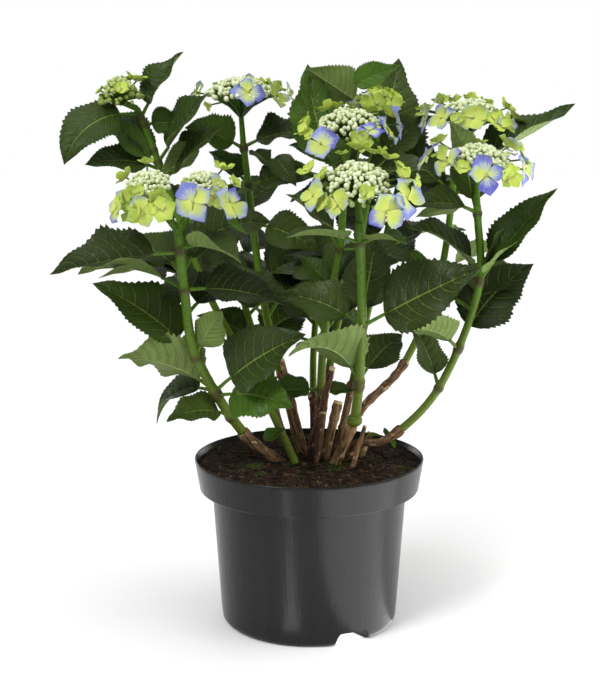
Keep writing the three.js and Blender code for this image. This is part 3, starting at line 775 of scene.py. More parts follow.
def share_at(points, height):
    """The share of the course at which the curve first reaches a height."""
    shares = np.linspace(0, 1, SEARCH_STEPS)
    return shares[np.argmax(route_places(points, shares)[:, 2] >= height)]


first = SHOOTS["left_front"]
print("the left front stem turns green at", share_at(first["route"], first["bare"]), "of its course")

# %% [markdown]
# ## Bark, stems and lenticels
#
# Last year's wood is brown and flaky at the foot of each shoot. This year's growth above it is green,
# speckled with small dark lenticels, and swells into a purple-brown ring wherever a pair of leaves
# sets out. The flakes and the swellings are real relief, and the speckles are colour with a slight bump.

# %% Woody canes
TAPER = 0.82
CANE_ROWS, CANE_SIDES = 70, 20
STUB_ROWS, STUB_SIDES = 60, 18
# The relief of the bark adds about this much to the radius, which is therefore less by as much.
BARK = 0.2
# Each cane swells at its end, where the green shoot begins.
SWELL = dict(size=1.6, below=3, spread=20)
JOINT = dict(count=3, low=0.15, high=0.95, size=0.16, width=2.6)
SLIM = dict(mid_left=0.8, centre_mid=0.7, centre_back=0.8)
# This one is green down to the compost, so it has no old wood.
GREEN_CANES = ("left_back",)
STUB_REDNESS = dict(tall=1.0, dark=0.8, short=0.1)


def chance(seed):
    """One repeatable random number from 0 to 1."""
    return np.random.default_rng(seed).uniform()


def jointed(path, thick, seed):
    """Radius with old leaf joints, each a short swelling in the shape of a bell. They may run together."""
    shares = np.random.default_rng(seed).uniform(JOINT["low"], JOINT["high"], JOINT["count"])
    joints = path[0, 2] + (path[-1, 2] - path[0, 2]) * shares
    bells = sum(np.exp(-((path[:, 2] - joint) / JOINT["width"]) ** 2) for joint in joints)
    return thick * (1 + JOINT["size"] * bells)


def bark_relief(path, sides, seed):
    """Relief of flaky bark, in millimetres: long ridges up the cane, broken by flakes across it."""
    turn = round_turn(sides)[None]
    along = path[:, 2][:, None]
    x, y = np.cos(turn) * 3.2, np.sin(turn) * 3.2
    ridges = soft_noise(x + along * 0.05, y + along * 0.03, seed, 2)
    flakes = soft_noise(x * 1.6 + along * 0.35, y * 1.6 - along * 0.22, seed + 1, 2)
    return 0.35 * ridges + 0.4 * np.clip(flakes, 0, 1)


wood_pile, stem_pile = Pile(), Pile()
for number, (name, shoot) in enumerate(SHOOTS.items()):
    if name in GREEN_CANES:
        continue
    shares = np.linspace(0, share_at(shoot["route"], shoot["bare"]), CANE_ROWS)
    path = route_places(shoot["route"], shares)
    thick = shoot["thick"] * (1 - (1 - TAPER) * shares)
    off = path[:, 2] - path[-1, 2] + SWELL["below"]
    thick = thick + SWELL["size"] * np.exp(-off ** 2 / SWELL["spread"])
    thick = SLIM.get(name, 1) * jointed(path, thick, number) - BARK
    tone = (chance(number), chance(number + 50), 0, 1)
    closed_tube(wood_pile, path, thick, CANE_SIDES, tone, bumps=bark_relief(path, CANE_SIDES, number))
for number, (name, (foot, end, thick_foot, thick_end)) in enumerate(STUBS.items()):
    path = np.linspace(foot, end, STUB_ROWS)
    thick = jointed(path, np.linspace(thick_foot, thick_end, STUB_ROWS), 40 + number) - BARK
    tone = np.tile([STUB_REDNESS.get(name, 0.4), chance(number + 90), 0, 1], (STUB_ROWS, 1))
    tone[-2:, 2] = 1
    closed_tube(wood_pile, path, thick, STUB_SIDES, tone, bumps=bark_relief(path, STUB_SIDES, 40 + number))
print("old canes and stubs:", len(wood_pile.points))

# %% [markdown]
# Two browns lie in long strips up the cane, broken by pale scars. The pruned ends of the stubs are palest.

# %% Bark material
# A cane's tones are its redness, its luck, and how far it is a pale cut.
bark, tree, shader = new_material("flaky_bark", roughness=0.85, specular=0.25)
grain = node(tree, "Attribute", attribute_name="grain").outputs["Vector"]
strips = noise(tree, scaled(tree, grain, (1, 1, 0.12)), 520.0, 5.0, 0.6)
scars = noise(tree, grain, 150.0, 3.0)
redness, _, cut = tones(tree)
pale_bark = mix(tree, redness, colour(152, 122, 84), colour(100, 72, 56))
deep_bark = mix(tree, redness, colour(66, 46, 30), colour(44, 29, 24))
wood_colour = mix(tree, rise(tree, strips, 0.36, 0.60), deep_bark, pale_bark)
wood_colour = mix(tree, rise(tree, scars, 0.58, 0.68), wood_colour, colour(172, 146, 108))
wood_colour = mix(tree, cut, wood_colour, colour(196, 172, 132))
base, _ = mottled(tree, wood_colour, 60.0, 0.5)
tree.links.new(base, shader.inputs["Base Color"])
bump(tree, shader, strips, 0.6, 0.0012)
old_wood = [f"cane_{name}" for name in SHOOTS if name not in GREEN_CANES] + [f"stub_{name}" for name in STUBS]
wood_pile.make("woody_canes", [bark], "old_wood", old_wood)

# %% [markdown]
# A green stem follows its shoot's route from the old wood to the top, thinning on the way, and swells
# by NODE_SWELL of its radius at each pair of leaves. Some stems fork just below the top.

# %% Green stems
NODE_SWELL, NODE_WIDTH = 0.32, 3.0
STEM_ROWS, STEM_SIDES = 150, 14
STEM_SLIM = 0.96
AGEING = 160
FORK_ROWS, FORK_RADIUS = 12, 3.8


def stem_tones(heights, knots, young):
    """Tone of a stem: first how close a leaf joint is, then how young the wood is."""
    bells = (np.exp(-((heights - knot) / NODE_WIDTH) ** 2) for knot in knots)
    near = sum(bells, np.zeros(len(heights)))
    tone = np.zeros((len(heights), 4))
    tone[:, 0] = np.clip(near, 0, 1)
    tone[:, 1] = young
    return tone


def grow_stem(path, thick, knots, young):
    tone = stem_tones(path[:, 2], knots, young)
    closed_tube(stem_pile, path, thick * (1 + NODE_SWELL * tone[:, 0]), STEM_SIDES, tone)


for name, shoot in SHOOTS.items():
    low = 0 if name in GREEN_CANES else share_at(shoot["route"], shoot["bare"])
    shares = np.linspace(low, 1, STEM_ROWS)
    path = route_places(shoot["route"], shares)
    thick = shoot["thick"] * (1 - (1 - TAPER) * shares) * STEM_SLIM
    knots = sorted({leaf[0] for leaf in shoot["leaves"]})
    grow_stem(path, thick, knots, np.clip((path[:, 2] - shoot["bare"]) / AGEING, 0, 1))
    for fork in shoot.get("forks", []):
        start = route_places(shoot["route"], np.array([FORKED]))[0]
        grow_stem(np.linspace(start, fork, FORK_ROWS), np.full(FORK_ROWS, FORK_RADIUS), [], 1.0)

# A yellow-green knuckle sits where the front stem leaves its old wood.
KNUCKLE = dict(centre=[44, -31, 212], radii=[8, 7.5, 6.5], lumps=5, relief=0.06, tone=(0.12, 0.1, 0, 1))
KNUCKLE_RINGS, KNUCKLE_SIDES = 12, 16
knuckle = ball(KNUCKLE_RINGS, KNUCKLE_SIDES)
lump = np.sin(KNUCKLE["lumps"] * np.arctan2(knuckle[..., 1], knuckle[..., 0]))[..., None]
lumpy = 1 + KNUCKLE["relief"] * lump * (1 - knuckle[..., 2:] ** 2)
stem_pile.add(knuckle * lumpy * KNUCKLE["radii"] + KNUCKLE["centre"],
              grid_faces(KNUCKLE_RINGS, KNUCKLE_SIDES, closed=True), tone=KNUCKLE["tone"])
print("stems, forks and knuckle:", len(stem_pile.points))

# %% [markdown]
# Lenticels are the cells of a Voronoi pattern, drawn only near their middles. The pattern is read from
# the grain, so it keeps its size along a bent stem.

# %% Stem material
stem_green, tree, shader = new_material("green_stem", roughness=0.45, specular=0.25)
grain = node(tree, "Attribute", attribute_name="grain").outputs["Vector"]
knot, young, _ = tones(tree)
cells = node(tree, "TexVoronoi", {"Vector": scaled(tree, grain, (1, 1, 0.45)), "Scale": 520.0})
specks = minus(tree, 1.0, rise(tree, cells.outputs["Distance"], 0.16, 0.30))
green = mix(tree, young, colour(90, 106, 24), colour(76, 112, 22))
green = mix(tree, times(tree, specks, 0.8), green, colour(46, 26, 20))
green = mix(tree, times(tree, knot, 0.75), green, colour(60, 34, 26))
base, _ = mottled(tree, green, 50.0, 0.5)
tree.links.new(base, shader.inputs["Base Color"])
bump(tree, shader, specks, 0.3, 0.0004)
print("materials so far:", [material.name for material in bpy.data.materials])

# %% [markdown]
# ## Leaves
#
# A hydrangea leaf is broad, ends in a point, has saw teeth along its edge, and is quilted: the blade
# bulges up between the side veins. Its midrib is an arc. Across the midrib lies a closed flat ring,
# top and underside, whose half width follows the outline. Folding lifts the edges like a book.

# %% The midrib
LEAF = dict(petiole=0.2, width=0.72, petiole_radius=1.6)
UP = np.array([0, 0, 1])


def midrib(base, leaf, share):
    """Place, side and face of the midrib: an arc in the upright plane of its turn, bent down by its droop,
    with side and face turned by its roll about the way forward."""
    _, turn, rise_up, length, droop, roll = leaf[:6]
    bend = math.radians(droop or 1)
    start = math.radians(rise_up)
    now = start - bend * np.asarray(share)
    out = length * (math.sin(start) - np.sin(now)) / bend
    up = length * (np.cos(now) - math.cos(start)) / bend
    heading = np.array([math.cos(math.radians(turn)), math.sin(math.radians(turn)), 0])
    flat = np.array([-heading[1], heading[0], 0])
    place = np.array(base) + out[:, None] * heading + up[:, None] * UP
    forward = np.cos(now)[:, None] * heading + np.sin(now)[:, None] * UP
    level = np.cross(forward, flat)
    side = math.cos(math.radians(roll)) * flat + math.sin(math.radians(roll)) * level
    return place, side, np.cross(forward, side)


level_tip = midrib((0, 0, 0), (0, 0, 0, 100, 0, 0), np.array([1.0]))[0][0]
print("a level leaf of 100 mm, without droop, ends at", level_tip.round(1))

# %% [markdown]
# A blade is a grid: rows from foot to tip, and columns across the top and back across the underside.
# Three rows make one tooth. QUILT, EDGE_WAVE and BUCKLE are shares of the greatest half width, THICK is
# in millimetres, and every leaf draws its own numbers, so no two are alike.

# %% One leaf
ROWS = 61
ACROSS = np.array([-1, -0.96, -0.8, -0.62, -0.42, -0.2, 0, 0.2, 0.42, 0.62, 0.8, 0.96, 1])
TEETH = 20
TOOTH, LOBE = 0.11, 0.045
QUILT, EDGE_WAVE, BUCKLE = 0.07, 0.085, 0.35
THICK = 0.55


def outline(u):
    """Half width as a share of the greatest: broad below the middle and drawn out to a point."""
    return np.sin(np.pi * u ** 0.6)


def leaf_blade(pile, base, leaf, random, youth, breadth=1.0):
    """A toothed and quilted blade: half width times outline, each tooth a ramp that leans to the tip;
    relief is a bulge between side veins, a wave along the edge and a fold that lifts the edges."""
    fold = math.radians(leaf[6] if len(leaf) > 6 else FOLD)
    u = np.linspace(0, 1, ROWS)
    widest = breadth * leaf[3] * (1 - LEAF["petiole"]) * LEAF["width"] / 2
    tooth = (np.arange(ROWS) % 3) / 2 * (np.arange(ROWS) < ROWS - 2)
    tooth = tooth * np.repeat(random.uniform(0.5, 1.2, TEETH + 1), 3)[:ROWS]
    vein_pairs = random.integers(7, 10)
    place, side, face = midrib(base, leaf, LEAF["petiole"] + (1 - LEAF["petiole"]) * u)
    half = widest * outline(u) * 0.98
    lobes = [np.sin(2 * np.pi * (random.uniform(1.8, 3.4) * u + random.uniform())) for _ in (0, 1)]
    columns = np.concatenate([ACROSS, ACROSS[-2:0:-1]])
    below = np.arange(len(columns)) >= len(ACROSS)
    u, v = u[:, None], columns[None]
    lobed = np.where(v > 0, lobes[0][:, None], lobes[1][:, None]) * v ** 2
    width = half[:, None] * (1 + TOOTH * np.abs(v) ** 6 * (tooth[:, None] - 0.7) + LOBE * lobed)
    across = v * width * math.cos(fold)
    phase = (vein_pairs * (u * 1.05 - 0.32 * np.abs(v) ** 1.5 * (1 - 0.45 * u))) % 1
    bulge = np.abs(np.sin(np.pi * phase)) ** 0.6 * (1 - np.abs(v) ** 3) * np.minimum(1, np.abs(v) * 5)
    swing = random.uniform(0.7, 1.6)
    course = random.uniform(1.2, 2.6) * u + random.uniform()
    wave = swing * np.sin(2 * np.pi * course + np.sign(v) * random.uniform(0, 2)) * np.abs(v) ** 2.2
    closing = np.minimum(1, 3.5 * half / widest)[:, None]
    crumple = soft_noise(5 * u + 0 * v, 2.5 * v + 0 * u, int(random.integers(1000)), 2)
    wave = wave + BUCKLE * crumple * np.abs(v)
    lift = np.abs(v) ** 1.25 * width * math.sin(fold) + widest * closing * (QUILT * bulge + EDGE_WAVE * wave)
    lift = lift - below[None] * THICK * (np.abs(v) < 0.999)
    points = place[:, None] + across[..., None] * side[:, None] + lift[..., None] * face[:, None]
    map_place = np.stack(np.broadcast_arrays(u, 0.5 + 0.5 * v), -1)
    faces = grid_faces(ROWS, len(columns), closed=True)[:, ::-1]
    under = np.tile(np.arange(len(columns)) >= len(ACROSS) - 1, ROWS - 1).astype(int)
    tone = (youth, random.uniform(), vein_pairs / 10, 1)
    pile.add(points, faces, map_place, tone, slot=under, cell=under)


print("one blade has", (ROWS - 1) * 2 * (len(ACROSS) - 1), "faces")

# %% [markdown]
# The tables give the leaves that matter to the plant's outline. The rest are made by rule, from a run
# of numbers that always starts at the same seed.

# %% Leaves by rule
MULTIPLIER, INCREMENT, MODULUS = 1664525, 1013904223, 4294967296


def dice(seed):
    """The source's own run of numbers from 0 to 1: the same seed always gives the same run."""
    state = seed

    def roll():
        nonlocal state
        state = (state * MULTIPLIER + INCREMENT) % MODULUS
        return state / MODULUS

    return roll


def ruled_leaves(fill, roll_dice):
    """Pairs of leaves by rule, evenly up the stem, reaching back to the right and to the left."""
    pairs, low, high = fill
    leaves = []
    for pair in range(pairs):
        for hand in (1, -1):
            turn = 90 - hand * (15 + 65 * roll_dice())
            roll = hand * 40 * roll_dice()
            length = 80 + 30 * roll_dice()
            leaves.append([low + (high - low) * (pair + 0.5) / pairs, turn, 20 + 35 * roll_dice(), length,
                           30 + 30 * roll_dice(), roll])
    return leaves


print("leaves by rule:", sum(2 * shoot["fill"][0] for shoot in SHOOTS.values()))

# %% [markdown]
# The vein group reads the leaf's own coordinates: first along the midrib, then across it. Side veins
# leave the midrib at a slant. It puts out masks for the midrib, the side veins, the net between them and
# the valleys along them, where the leaf gets painted shade, and a height.

# %% Vein group
veins = bpy.data.node_groups.new("veins", "ShaderNodeTree")
veins.interface.new_socket("Pairs", in_out="INPUT", socket_type="NodeSocketFloat")
for name in ("Midrib", "Side veins", "Net", "Height", "Valley"):
    veins.interface.new_socket(name, in_out="OUTPUT", socket_type="NodeSocketFloat")
entry, leaving = veins.nodes.new("NodeGroupInput"), veins.nodes.new("NodeGroupOutput")
place = node(veins, "UVMap", uv_map="Place").outputs[0]
along, across, _ = node(veins, "SeparateXYZ", {"Vector": place}).outputs
aside = maths(veins, "ABSOLUTE", times(veins, minus(veins, across, 0.5), 2.0))
rib = minus(veins, 1.0, rise(veins, aside, 0.01, 0.045))
slant = times(veins, maths(veins, "POWER", aside, 1.5), 0.32)
shrink = minus(veins, 1.0, times(veins, along, 0.45))
course = minus(veins, times(veins, along, 1.05), times(veins, slant, shrink))
phase = maths(veins, "FRACT", times(veins, course, entry.outputs["Pairs"]))
close = maths(veins, "ABSOLUTE", minus(veins, phase, 0.5))
thin_out = minus(veins, 1.0, rise(veins, aside, 0.5, 1.0))
side_vein = times(veins, rise(veins, close, 0.44, 0.485), thin_out)
net = node(veins, "TexVoronoi", {"Vector": scaled(veins, place, (1.4, 1, 1)), "Scale": 26.0},
           feature="DISTANCE_TO_EDGE").outputs[0]
net_vein = minus(veins, 1.0, rise(veins, net, 0.0, 0.09))
raised = plus(veins, times(veins, side_vein, 0.7), times(veins, net_vein, 0.25))
# The Valley mask rises towards the side veins, where the quilted blade sinks and the leaf paints shade.
for name, mask in (("Valley", rise(veins, close, 0.18, 0.48)), ("Midrib", rib), ("Side veins", side_vein),
                   ("Net", net_vein), ("Height", maths(veins, "MAXIMUM", raised, rib))):
    veins.links.new(mask, leaving.inputs[name])
print("vein group:", [socket.name for socket in veins.interface.items_tree])

# %% [markdown]
# A leaf's tones are its youth, its luck and its number of vein pairs. Old leaves are dark green between
# two shades, young ones are fresh green, and the valleys along the side veins, where the blade sinks,
# get painted shade. The veins lie sunk in the top and stand out on the pale underside.

# %% Leaf materials


def leaf_material(name, old, deep, new, vein, roughness, specular, sunk):
    """A leaf surface from two old colours and a young one, a vein colour and how far its veins lie sunk."""
    material, tree, shader = new_material(name, roughness, specular)
    group = tree.nodes.new("ShaderNodeGroup")
    group.node_tree = veins
    youth, luck, pairs = tones(tree)
    tree.links.new(times(tree, pairs, 10.0), group.inputs["Pairs"])
    green = mix(tree, youth, mix(tree, luck, old, deep), new)
    base, height = mottled(tree, green, 36.0, 0.9)
    # Painted shade: the blade is darkened in the valleys along the side veins, where it sinks.
    valley_painted_shade = node(tree, "HueSaturation", {"Color": base, "Value": 0.6}).outputs[0]
    base = mix(tree, times(tree, group.outputs["Valley"], 0.6), base, valley_painted_shade)
    for mask, share in (("Net", 0.12), ("Side veins", 0.65), ("Midrib", 0.85)):
        base = mix(tree, times(tree, group.outputs[mask], share), base, vein)
    tree.links.new(base, shader.inputs["Base Color"])
    relief = plus(tree, times(tree, group.outputs["Height"], sunk), times(tree, height, 0.5))
    bump(tree, shader, relief, 0.9, 0.0024)
    return material


leaf_top = leaf_material("leaf_top", colour(56, 74, 20), colour(28, 40, 11), colour(78, 122, 22),
                         colour(132, 154, 70), 0.4, 0.28, -0.9)
leaf_under = leaf_material("leaf_underside", colour(124, 146, 76), colour(104, 126, 62), colour(140, 166, 78),
                           colour(158, 176, 108), 0.6, 0.2, 1.0)
print("leaf materials:", leaf_top.name, "and", leaf_under.name)

# %% [markdown]
# Some leaves differ from the rest, and a few small ones stand at feet, joints and heads.

# %% Single leaves
# Leaves younger, and so paler, than the rule, by shoot and row.
YOUNG = {("left_front", 1): 0.6, ("left_front", 5): 0.15, ("right_front", 4): 0.25, ("centre_mid", 7): 0.45,
         ("right_back", 4): 0.2, ("left_back", 9): 0.45}
# Leaves broader or slimmer than the rule, by shoot and row.
BROAD = {("left_back", 5): 1.4, ("left_back", 7): 1.5, ("right_front", 0): 1.25, ("right_front", 4): 0.76,
         ("left_front", 1): 1.15, ("left_front", 2): 1.2, ("centre_front", 0): 1.12,
         ("centre_front", 3): 1.08, ("mid_left", 4): 1.3, ("mid_left", 5): 1.2}
# Small leaves and bracts of the scene alone: place, leaf, youth and breadth.
SPROUTS = [
    [[76, -14, 190], [0, 180, 25, 24, 50, 20], 0.6, 1], [[78, -14, 190], [0, 110, 50, 13, 20, 0], 0.6, 1],
    [[80, -16, 189], [0, 300, -20, 12, 30, 0], 0.6, 1], [[-50, -18, 186], [0, 8, 32, 30, 10, 40], 0.6, 1],
    [[46, -34, 214], [0, 200, 20, 12, 30, 0], 0.8, 1], [[44, -33, 216], [0, 340, 30, 10, 30, 0], 0.8, 1],
    [[-80, -86, 421], [0, 318, -35, 38, -10, 60], 0.8, 0.35],
    [[158, -20, 458], [0, 184, 62, 50, 5, 65], 0, 1],
    [[-196, 62, 517], [0, 330, 40, 26, 20, 70], 0.9, 0.9], [[-60, 92, 470], [0, 300, -8, 44, 30, 10], 0.1, 1],
    [[34, 44, 531], [0, 0, 25, 60, 4, 65], 0.85, 0.9], [[-101, 60, 479], [0, 185, -30, 62, 15, 50], 0, 1.1],
    [[160, 24, 418], [0, 182, -8, 56, 8, 50], 0, 0.8],
    [[-123, -40, 369], [0, 180, -5, 80, 12, 30], 0.05, 0.5],
    [[-40, 70, 470], [0, 320, -40, 50, 10, 50], 0, 1], [[40, 75, 472], [0, 10, 0, 44, 10, 60], 0, 1],
    [[57, 70, 513], [0, 180, 35, 72, 5, 60], 0, 1.25],
]
print("small leaves:", len(SPROUTS), "young leaves:", len(YOUNG), "broader or slimmer ones:", len(BROAD))

# %% [markdown]
# Each leaf starts where its height cuts its stem. A thin tube under its foot is its petiole, which goes
# with the stems, because it is green wood and no blade.

# %% Grow the leaves
PETIOLE_ROWS, PETIOLE_SIDES = 9, 8
random = np.random.default_rng(5)
leaf_piles = {"front": Pile(), "back": Pile()}
BACK = ("centre_back", "back_right", "back_left", "back_centre", "right_back", "left_back")
leaf_count = 0
for name, shoot in SHOOTS.items():
    pile = leaf_piles["back" if name in BACK else "front"]
    listed = shoot["leaves"]
    for row, leaf in enumerate(listed + ruled_leaves(shoot["fill"], dice(len(name) * 7 + shoot["bare"]))):
        base = route_places(shoot["route"], np.array([share_at(shoot["route"], leaf[0])]))[0]
        height = np.clip((leaf[0] - 300) / 260, 0, 1)
        youth = np.clip(0.1 * height + 0.25 * (leaf[3] < 72) + random.uniform(-0.05, 0.1), 0, 1)
        youth = YOUNG.get((name, row), youth)
        leaf_blade(pile, base, leaf, random, youth, BROAD.get((name, row), 1))
        petiole = midrib(base, leaf, np.linspace(0.02, LEAF["petiole"] + 0.02, PETIOLE_ROWS))[0]
        thick = np.linspace(1.25, 1, PETIOLE_ROWS) * LEAF["petiole_radius"]
        closed_tube(stem_pile, petiole, thick, PETIOLE_SIDES, (0.1, 1, 0, 1))
        leaf_count += 1
for base, leaf, youth, breadth in SPROUTS:
    leaf_blade(leaf_piles["front" if youth else "back"], base, leaf, random, youth, breadth)
print("leaves:", leaf_count + len(SPROUTS))
for part, pile in leaf_piles.items():
    shoots = [f"shoot_{name}" for name in SHOOTS if (name in BACK) == (part == "back")]
    pile.make(f"leaves_{part}", [leaf_top, leaf_under], "foliage", shoots, atlas=True, crisp=True)

# %% [markdown]
# ## Flower heads
#
# A lacecap head has two kinds of flower. In the middle stand many small buds, here beads, each on its
# own ray: from about 70 on the smallest dome to 230 on the broadest. Round them stand a few showy
# florets of broad sepals. There are four kinds: B is blue, Y is turning from lime to blue, L is lime
# and S is a small lime one.

# %% Florets of the heads
FLORET = dict(B=dict(radius=18, lean=55, blue=0.82), Y=dict(radius=14.5, lean=50, blue=0.45),
              L=dict(radius=11, lean=40, blue=0.0), S=dict(radius=7, lean=35, blue=0.0))
# The florets of each head: angle round its axis (0 right, 90 back), distance from the axis, rise above
# the centre, kind, and where they differ from the kind's own, the lean and a scale.
FLORETS = dict(
    left_small=[
        [285, 21, 1, "L", 60, 0.8], [20, 20, 7, "L", 25, 1.1], [60, 16, 9, "S"], [200, 18, 3, "S"],
    ],
    left_front_a=[
        [140, 25, 3, "L", 60, 1.0], [88, 28, 6, "L", 40, 0.85], [214, 35, -2, "Y"], [215, 21, 1, "L"],
        [251, 19, 9, "S"], [260, 32, -3, "Y", 50, 1.0], [293, 24, 0, "L", 50, 1.05],
        [290, 35, -4, "L", 50, 1.15], [242, 31, -4, "L", 50, 1.05], [230, 26, 2, "L"],
    ],
    left_front_b=[
        [253, 27, 0, "B", 55, 1.05], [326, 31, -2, "B"], [330, 13, 7, "Y", 50, 0.85], [204, 18, 3, "S"],
        [66, 30, 5, "L", 20, 1.0], [21, 26, 2, "L", 45, 0.7], [300, 22, 3, "Y", 45, 0.8],
    ],
    mid_left=[
        [157, 51, 3, "Y", 70, 0.95], [284, 34, 8, "B", 65], [81, 39, 10, "Y", 60, 0.75], [45, 46, 8, "L"],
        [333, 41, 4, "Y", 60, 1.05], [357, 50, 2, "Y", 60, 0.85], [215, 38, -6, "S", 110],
        [60, 40, 8, "L", 40, 0.8], [120, 44, 7, "L", 45, 0.8], [20, 44, 6, "S"],
    ],
    centre_mid=[
        [234, 48, -3, "B"], [187, 42, -1, "L", 45, 1.15], [123, 41, 5, "L"], [105, 40, 6, "L", 40, 0.85],
        [85, 38, 6, "Y", 55, 0.75], [55, 32, 6, "L"], [33, 46, 4, "L", 45, 1.15], [346, 38, -1, "B"],
        [9, 49, 0, "B", 82, 0.95], [303, 35, 6, "B", 8, 0.8], [283, 38, -2, "L", 55, 1.15],
        [160, 44, 1, "L", 45, 0.8], [205, 42, -3, "S"],
    ],
    centre_back=[
        [100, 15, 8, "L"], [30, 17, 5, "L"], [345, 19, 3, "L"], [270, 8, 9, "L", 30, 0.8],
        [270, 22, 2, "L"], [305, 25, 0, "L"], [245, 23, 0, "L"], [200, 20, 3, "S"], [320, 12, 8, "S"],
    ],
    centre_front=[
        [338, 47, -3, "B", 55, 1.05], [305, 43, -3, "B"], [7, 40, 3, "L", 45, 1.1],
        [1, 53, -3, "Y", 75, 0.8], [172, 31, 5, "L", 40, 0.8], [162, 46, 3, "L"], [199, 42, -2, "Y"],
        [236, 33, -2, "Y", 50, 0.95], [112, 37, 7, "S"], [88, 39, 9, "L"], [69, 39, 7, "L", 40, 1.2],
        [48, 40, 6, "L", 45, 1.1], [286, 24, 8, "L", 30, 0.75], [215, 38, -3, "L", 50, 0.9],
        [25, 42, 4, "L", 45, 0.8],
    ],
    right_back=[
        [158, 46, 2, "Y"], [186, 46, -3, "B", 75, 0.75], [123, 46, 6, "L"], [152, 54, 3, "S"],
        [83, 42, 8, "L", 40, 0.9], [54, 34, 7, "L", 40, 0.8], [25, 43, 5, "L"], [0, 44, 0, "L", 50, 1.2],
        [212, 37, 3, "Y"], [268, 31, 6, "Y", 55, 1.05], [300, 42, 2, "L", 50, 1.2],
        [318, 45, 0, "Y", 60, 0.85], [330, 31, 5, "S"], [104, 44, 7, "L", 40, 0.8],
        [240, 34, 3, "L", 45, 0.7],
    ],
    right_front=[
        [159, 49, 0, "B", 68, 0.95], [135, 46, 7, "L"], [195, 31, 5, "Y", 60, 1.2],
        [237, 28, 4, "L", 45, 0.8], [276, 35, 3, "B", 50, 1.1], [305, 41, -2, "L", 50, 1.05],
        [42, 43, 4, "Y", 55, 0.95], [14, 30, 6, "B", 10, 0.6], [345, 44, -2, "B", 75, 0.9],
        [7, 42, 1, "L", 60, 1.05], [79, 30, 8, "S"], [110, 38, 7, "L", 40, 0.7], [320, 36, 2, "S"],
        [165, 38, 4, "S"],
    ],
)
print("florets placed one by one:", sum(len(rows) for rows in FLORETS.values()))

# %% [markdown]
# Seeds in a sunflower and buds here follow the same rule: each turns by the golden angle from the one
# before, and its distance from the middle goes with the square root of its number.

# %% Buds
HEAD = dict(stations=12, swing=0.4, rise=(-2, 5), ray_foot=8, hub=0.6, dome_rise=0.5, seed=11)
BUD_COUNT = dict(least=30, area=6.5)
BUD_SIZE = (1.9, 3.0)
BUD_RAY = np.array([1.0, 0.7, 0.5])
GOLDEN = math.radians(137.508)
BUD_RINGS, BUD_SIDES = 6, 7
BUD = ball(BUD_RINGS, BUD_SIDES).reshape(-1, 3)
BUD_FACES = grid_faces(BUD_RINGS, BUD_SIDES, closed=True)
bud_pile, sepal_pile = Pile(), Pile()


def head_frame(head):
    """The head's axis, leaning by its angle towards its turn, and two directions square to it."""
    turn, lean = math.radians(head["turn"]), math.radians(head["lean"])
    axis = np.array([math.sin(lean) * math.cos(turn), math.sin(lean) * math.sin(turn), math.cos(lean)])
    right = unit(np.cross([0, 1, 0], axis))
    return axis, right, np.cross(axis, right)


def buds(head, random, drop, ripe):
    """Beads over the dome by the golden angle, each with a thin ray from the hub below. The dome's height
    falls by drop times its radius towards its edge. A bead is palest where it faces away from the hub, a
    painted light on its ripe colour, and darker on its sides and low on the dome, a painted shade."""
    axis, right, back = head_frame(head)
    centre, radius = np.array(head["centre"], float), head["dome"]
    count = int(BUD_COUNT["least"] + radius ** 2 / BUD_COUNT["area"])
    share = np.sqrt((np.arange(count) + 0.5) / count) * (1 + 0.08 * random.uniform(-1, 1, count))
    angle = np.arange(count) * GOLDEN + random.uniform(-0.2, 0.2, count)
    up = radius * (HEAD["dome_rise"] - drop * share ** 2) + random.uniform(-2.4, 1.2, count)
    across = radius * share
    hub = centre - axis * HEAD["hub"] * radius
    places = (centre + np.cos(angle)[:, None] * across[:, None] * right
              + np.sin(angle)[:, None] * across[:, None] * back + up[:, None] * axis)
    for i, place in enumerate(places):
        size = random.uniform(*BUD_SIZE)
        way = unit(place - hub)
        facing = BUD @ way
        stretch = BUD * size + 0.12 * size * facing[:, None] * way
        tone = np.zeros((len(BUD), 4))
        # Painted light and shade: pale on the face away from the hub, darker green on the sides, scaled by
        # ripeness and luck.
        tone[:, 0] = ripe * random.uniform(0.6, 1) * np.clip(0.35 + 0.8 * facing, 0, 1)
        # Painted shade: a bud low on the dome keeps mostly the darker green.
        tone[:, 1] = 0.2 + 0.8 * (up[i] > 0)
        bud_pile.add(stretch + place, BUD_FACES, tone=tone)
        fork = hub + (place - hub) * 0.35 + axis * 0.1 * radius
        closed_tube(stem_pile, np.array([hub, fork, place]), BUD_RAY, 4, (0.25, 1, 1, 1))


print("a bud has", len(BUD_FACES), "faces")

# %% [markdown]
# A sepal is a grid like a leaf, with far fewer faces, because there are hundreds of them.

# %% Sepals
SEPAL_ROWS = 9
SEPAL_ACROSS = np.array([-1, -0.8, -0.4, 0, 0.4, 0.8, 1, 0.8, 0, -0.8])
SEPAL_UNDER = 7
SEPAL_THICK = 0.35


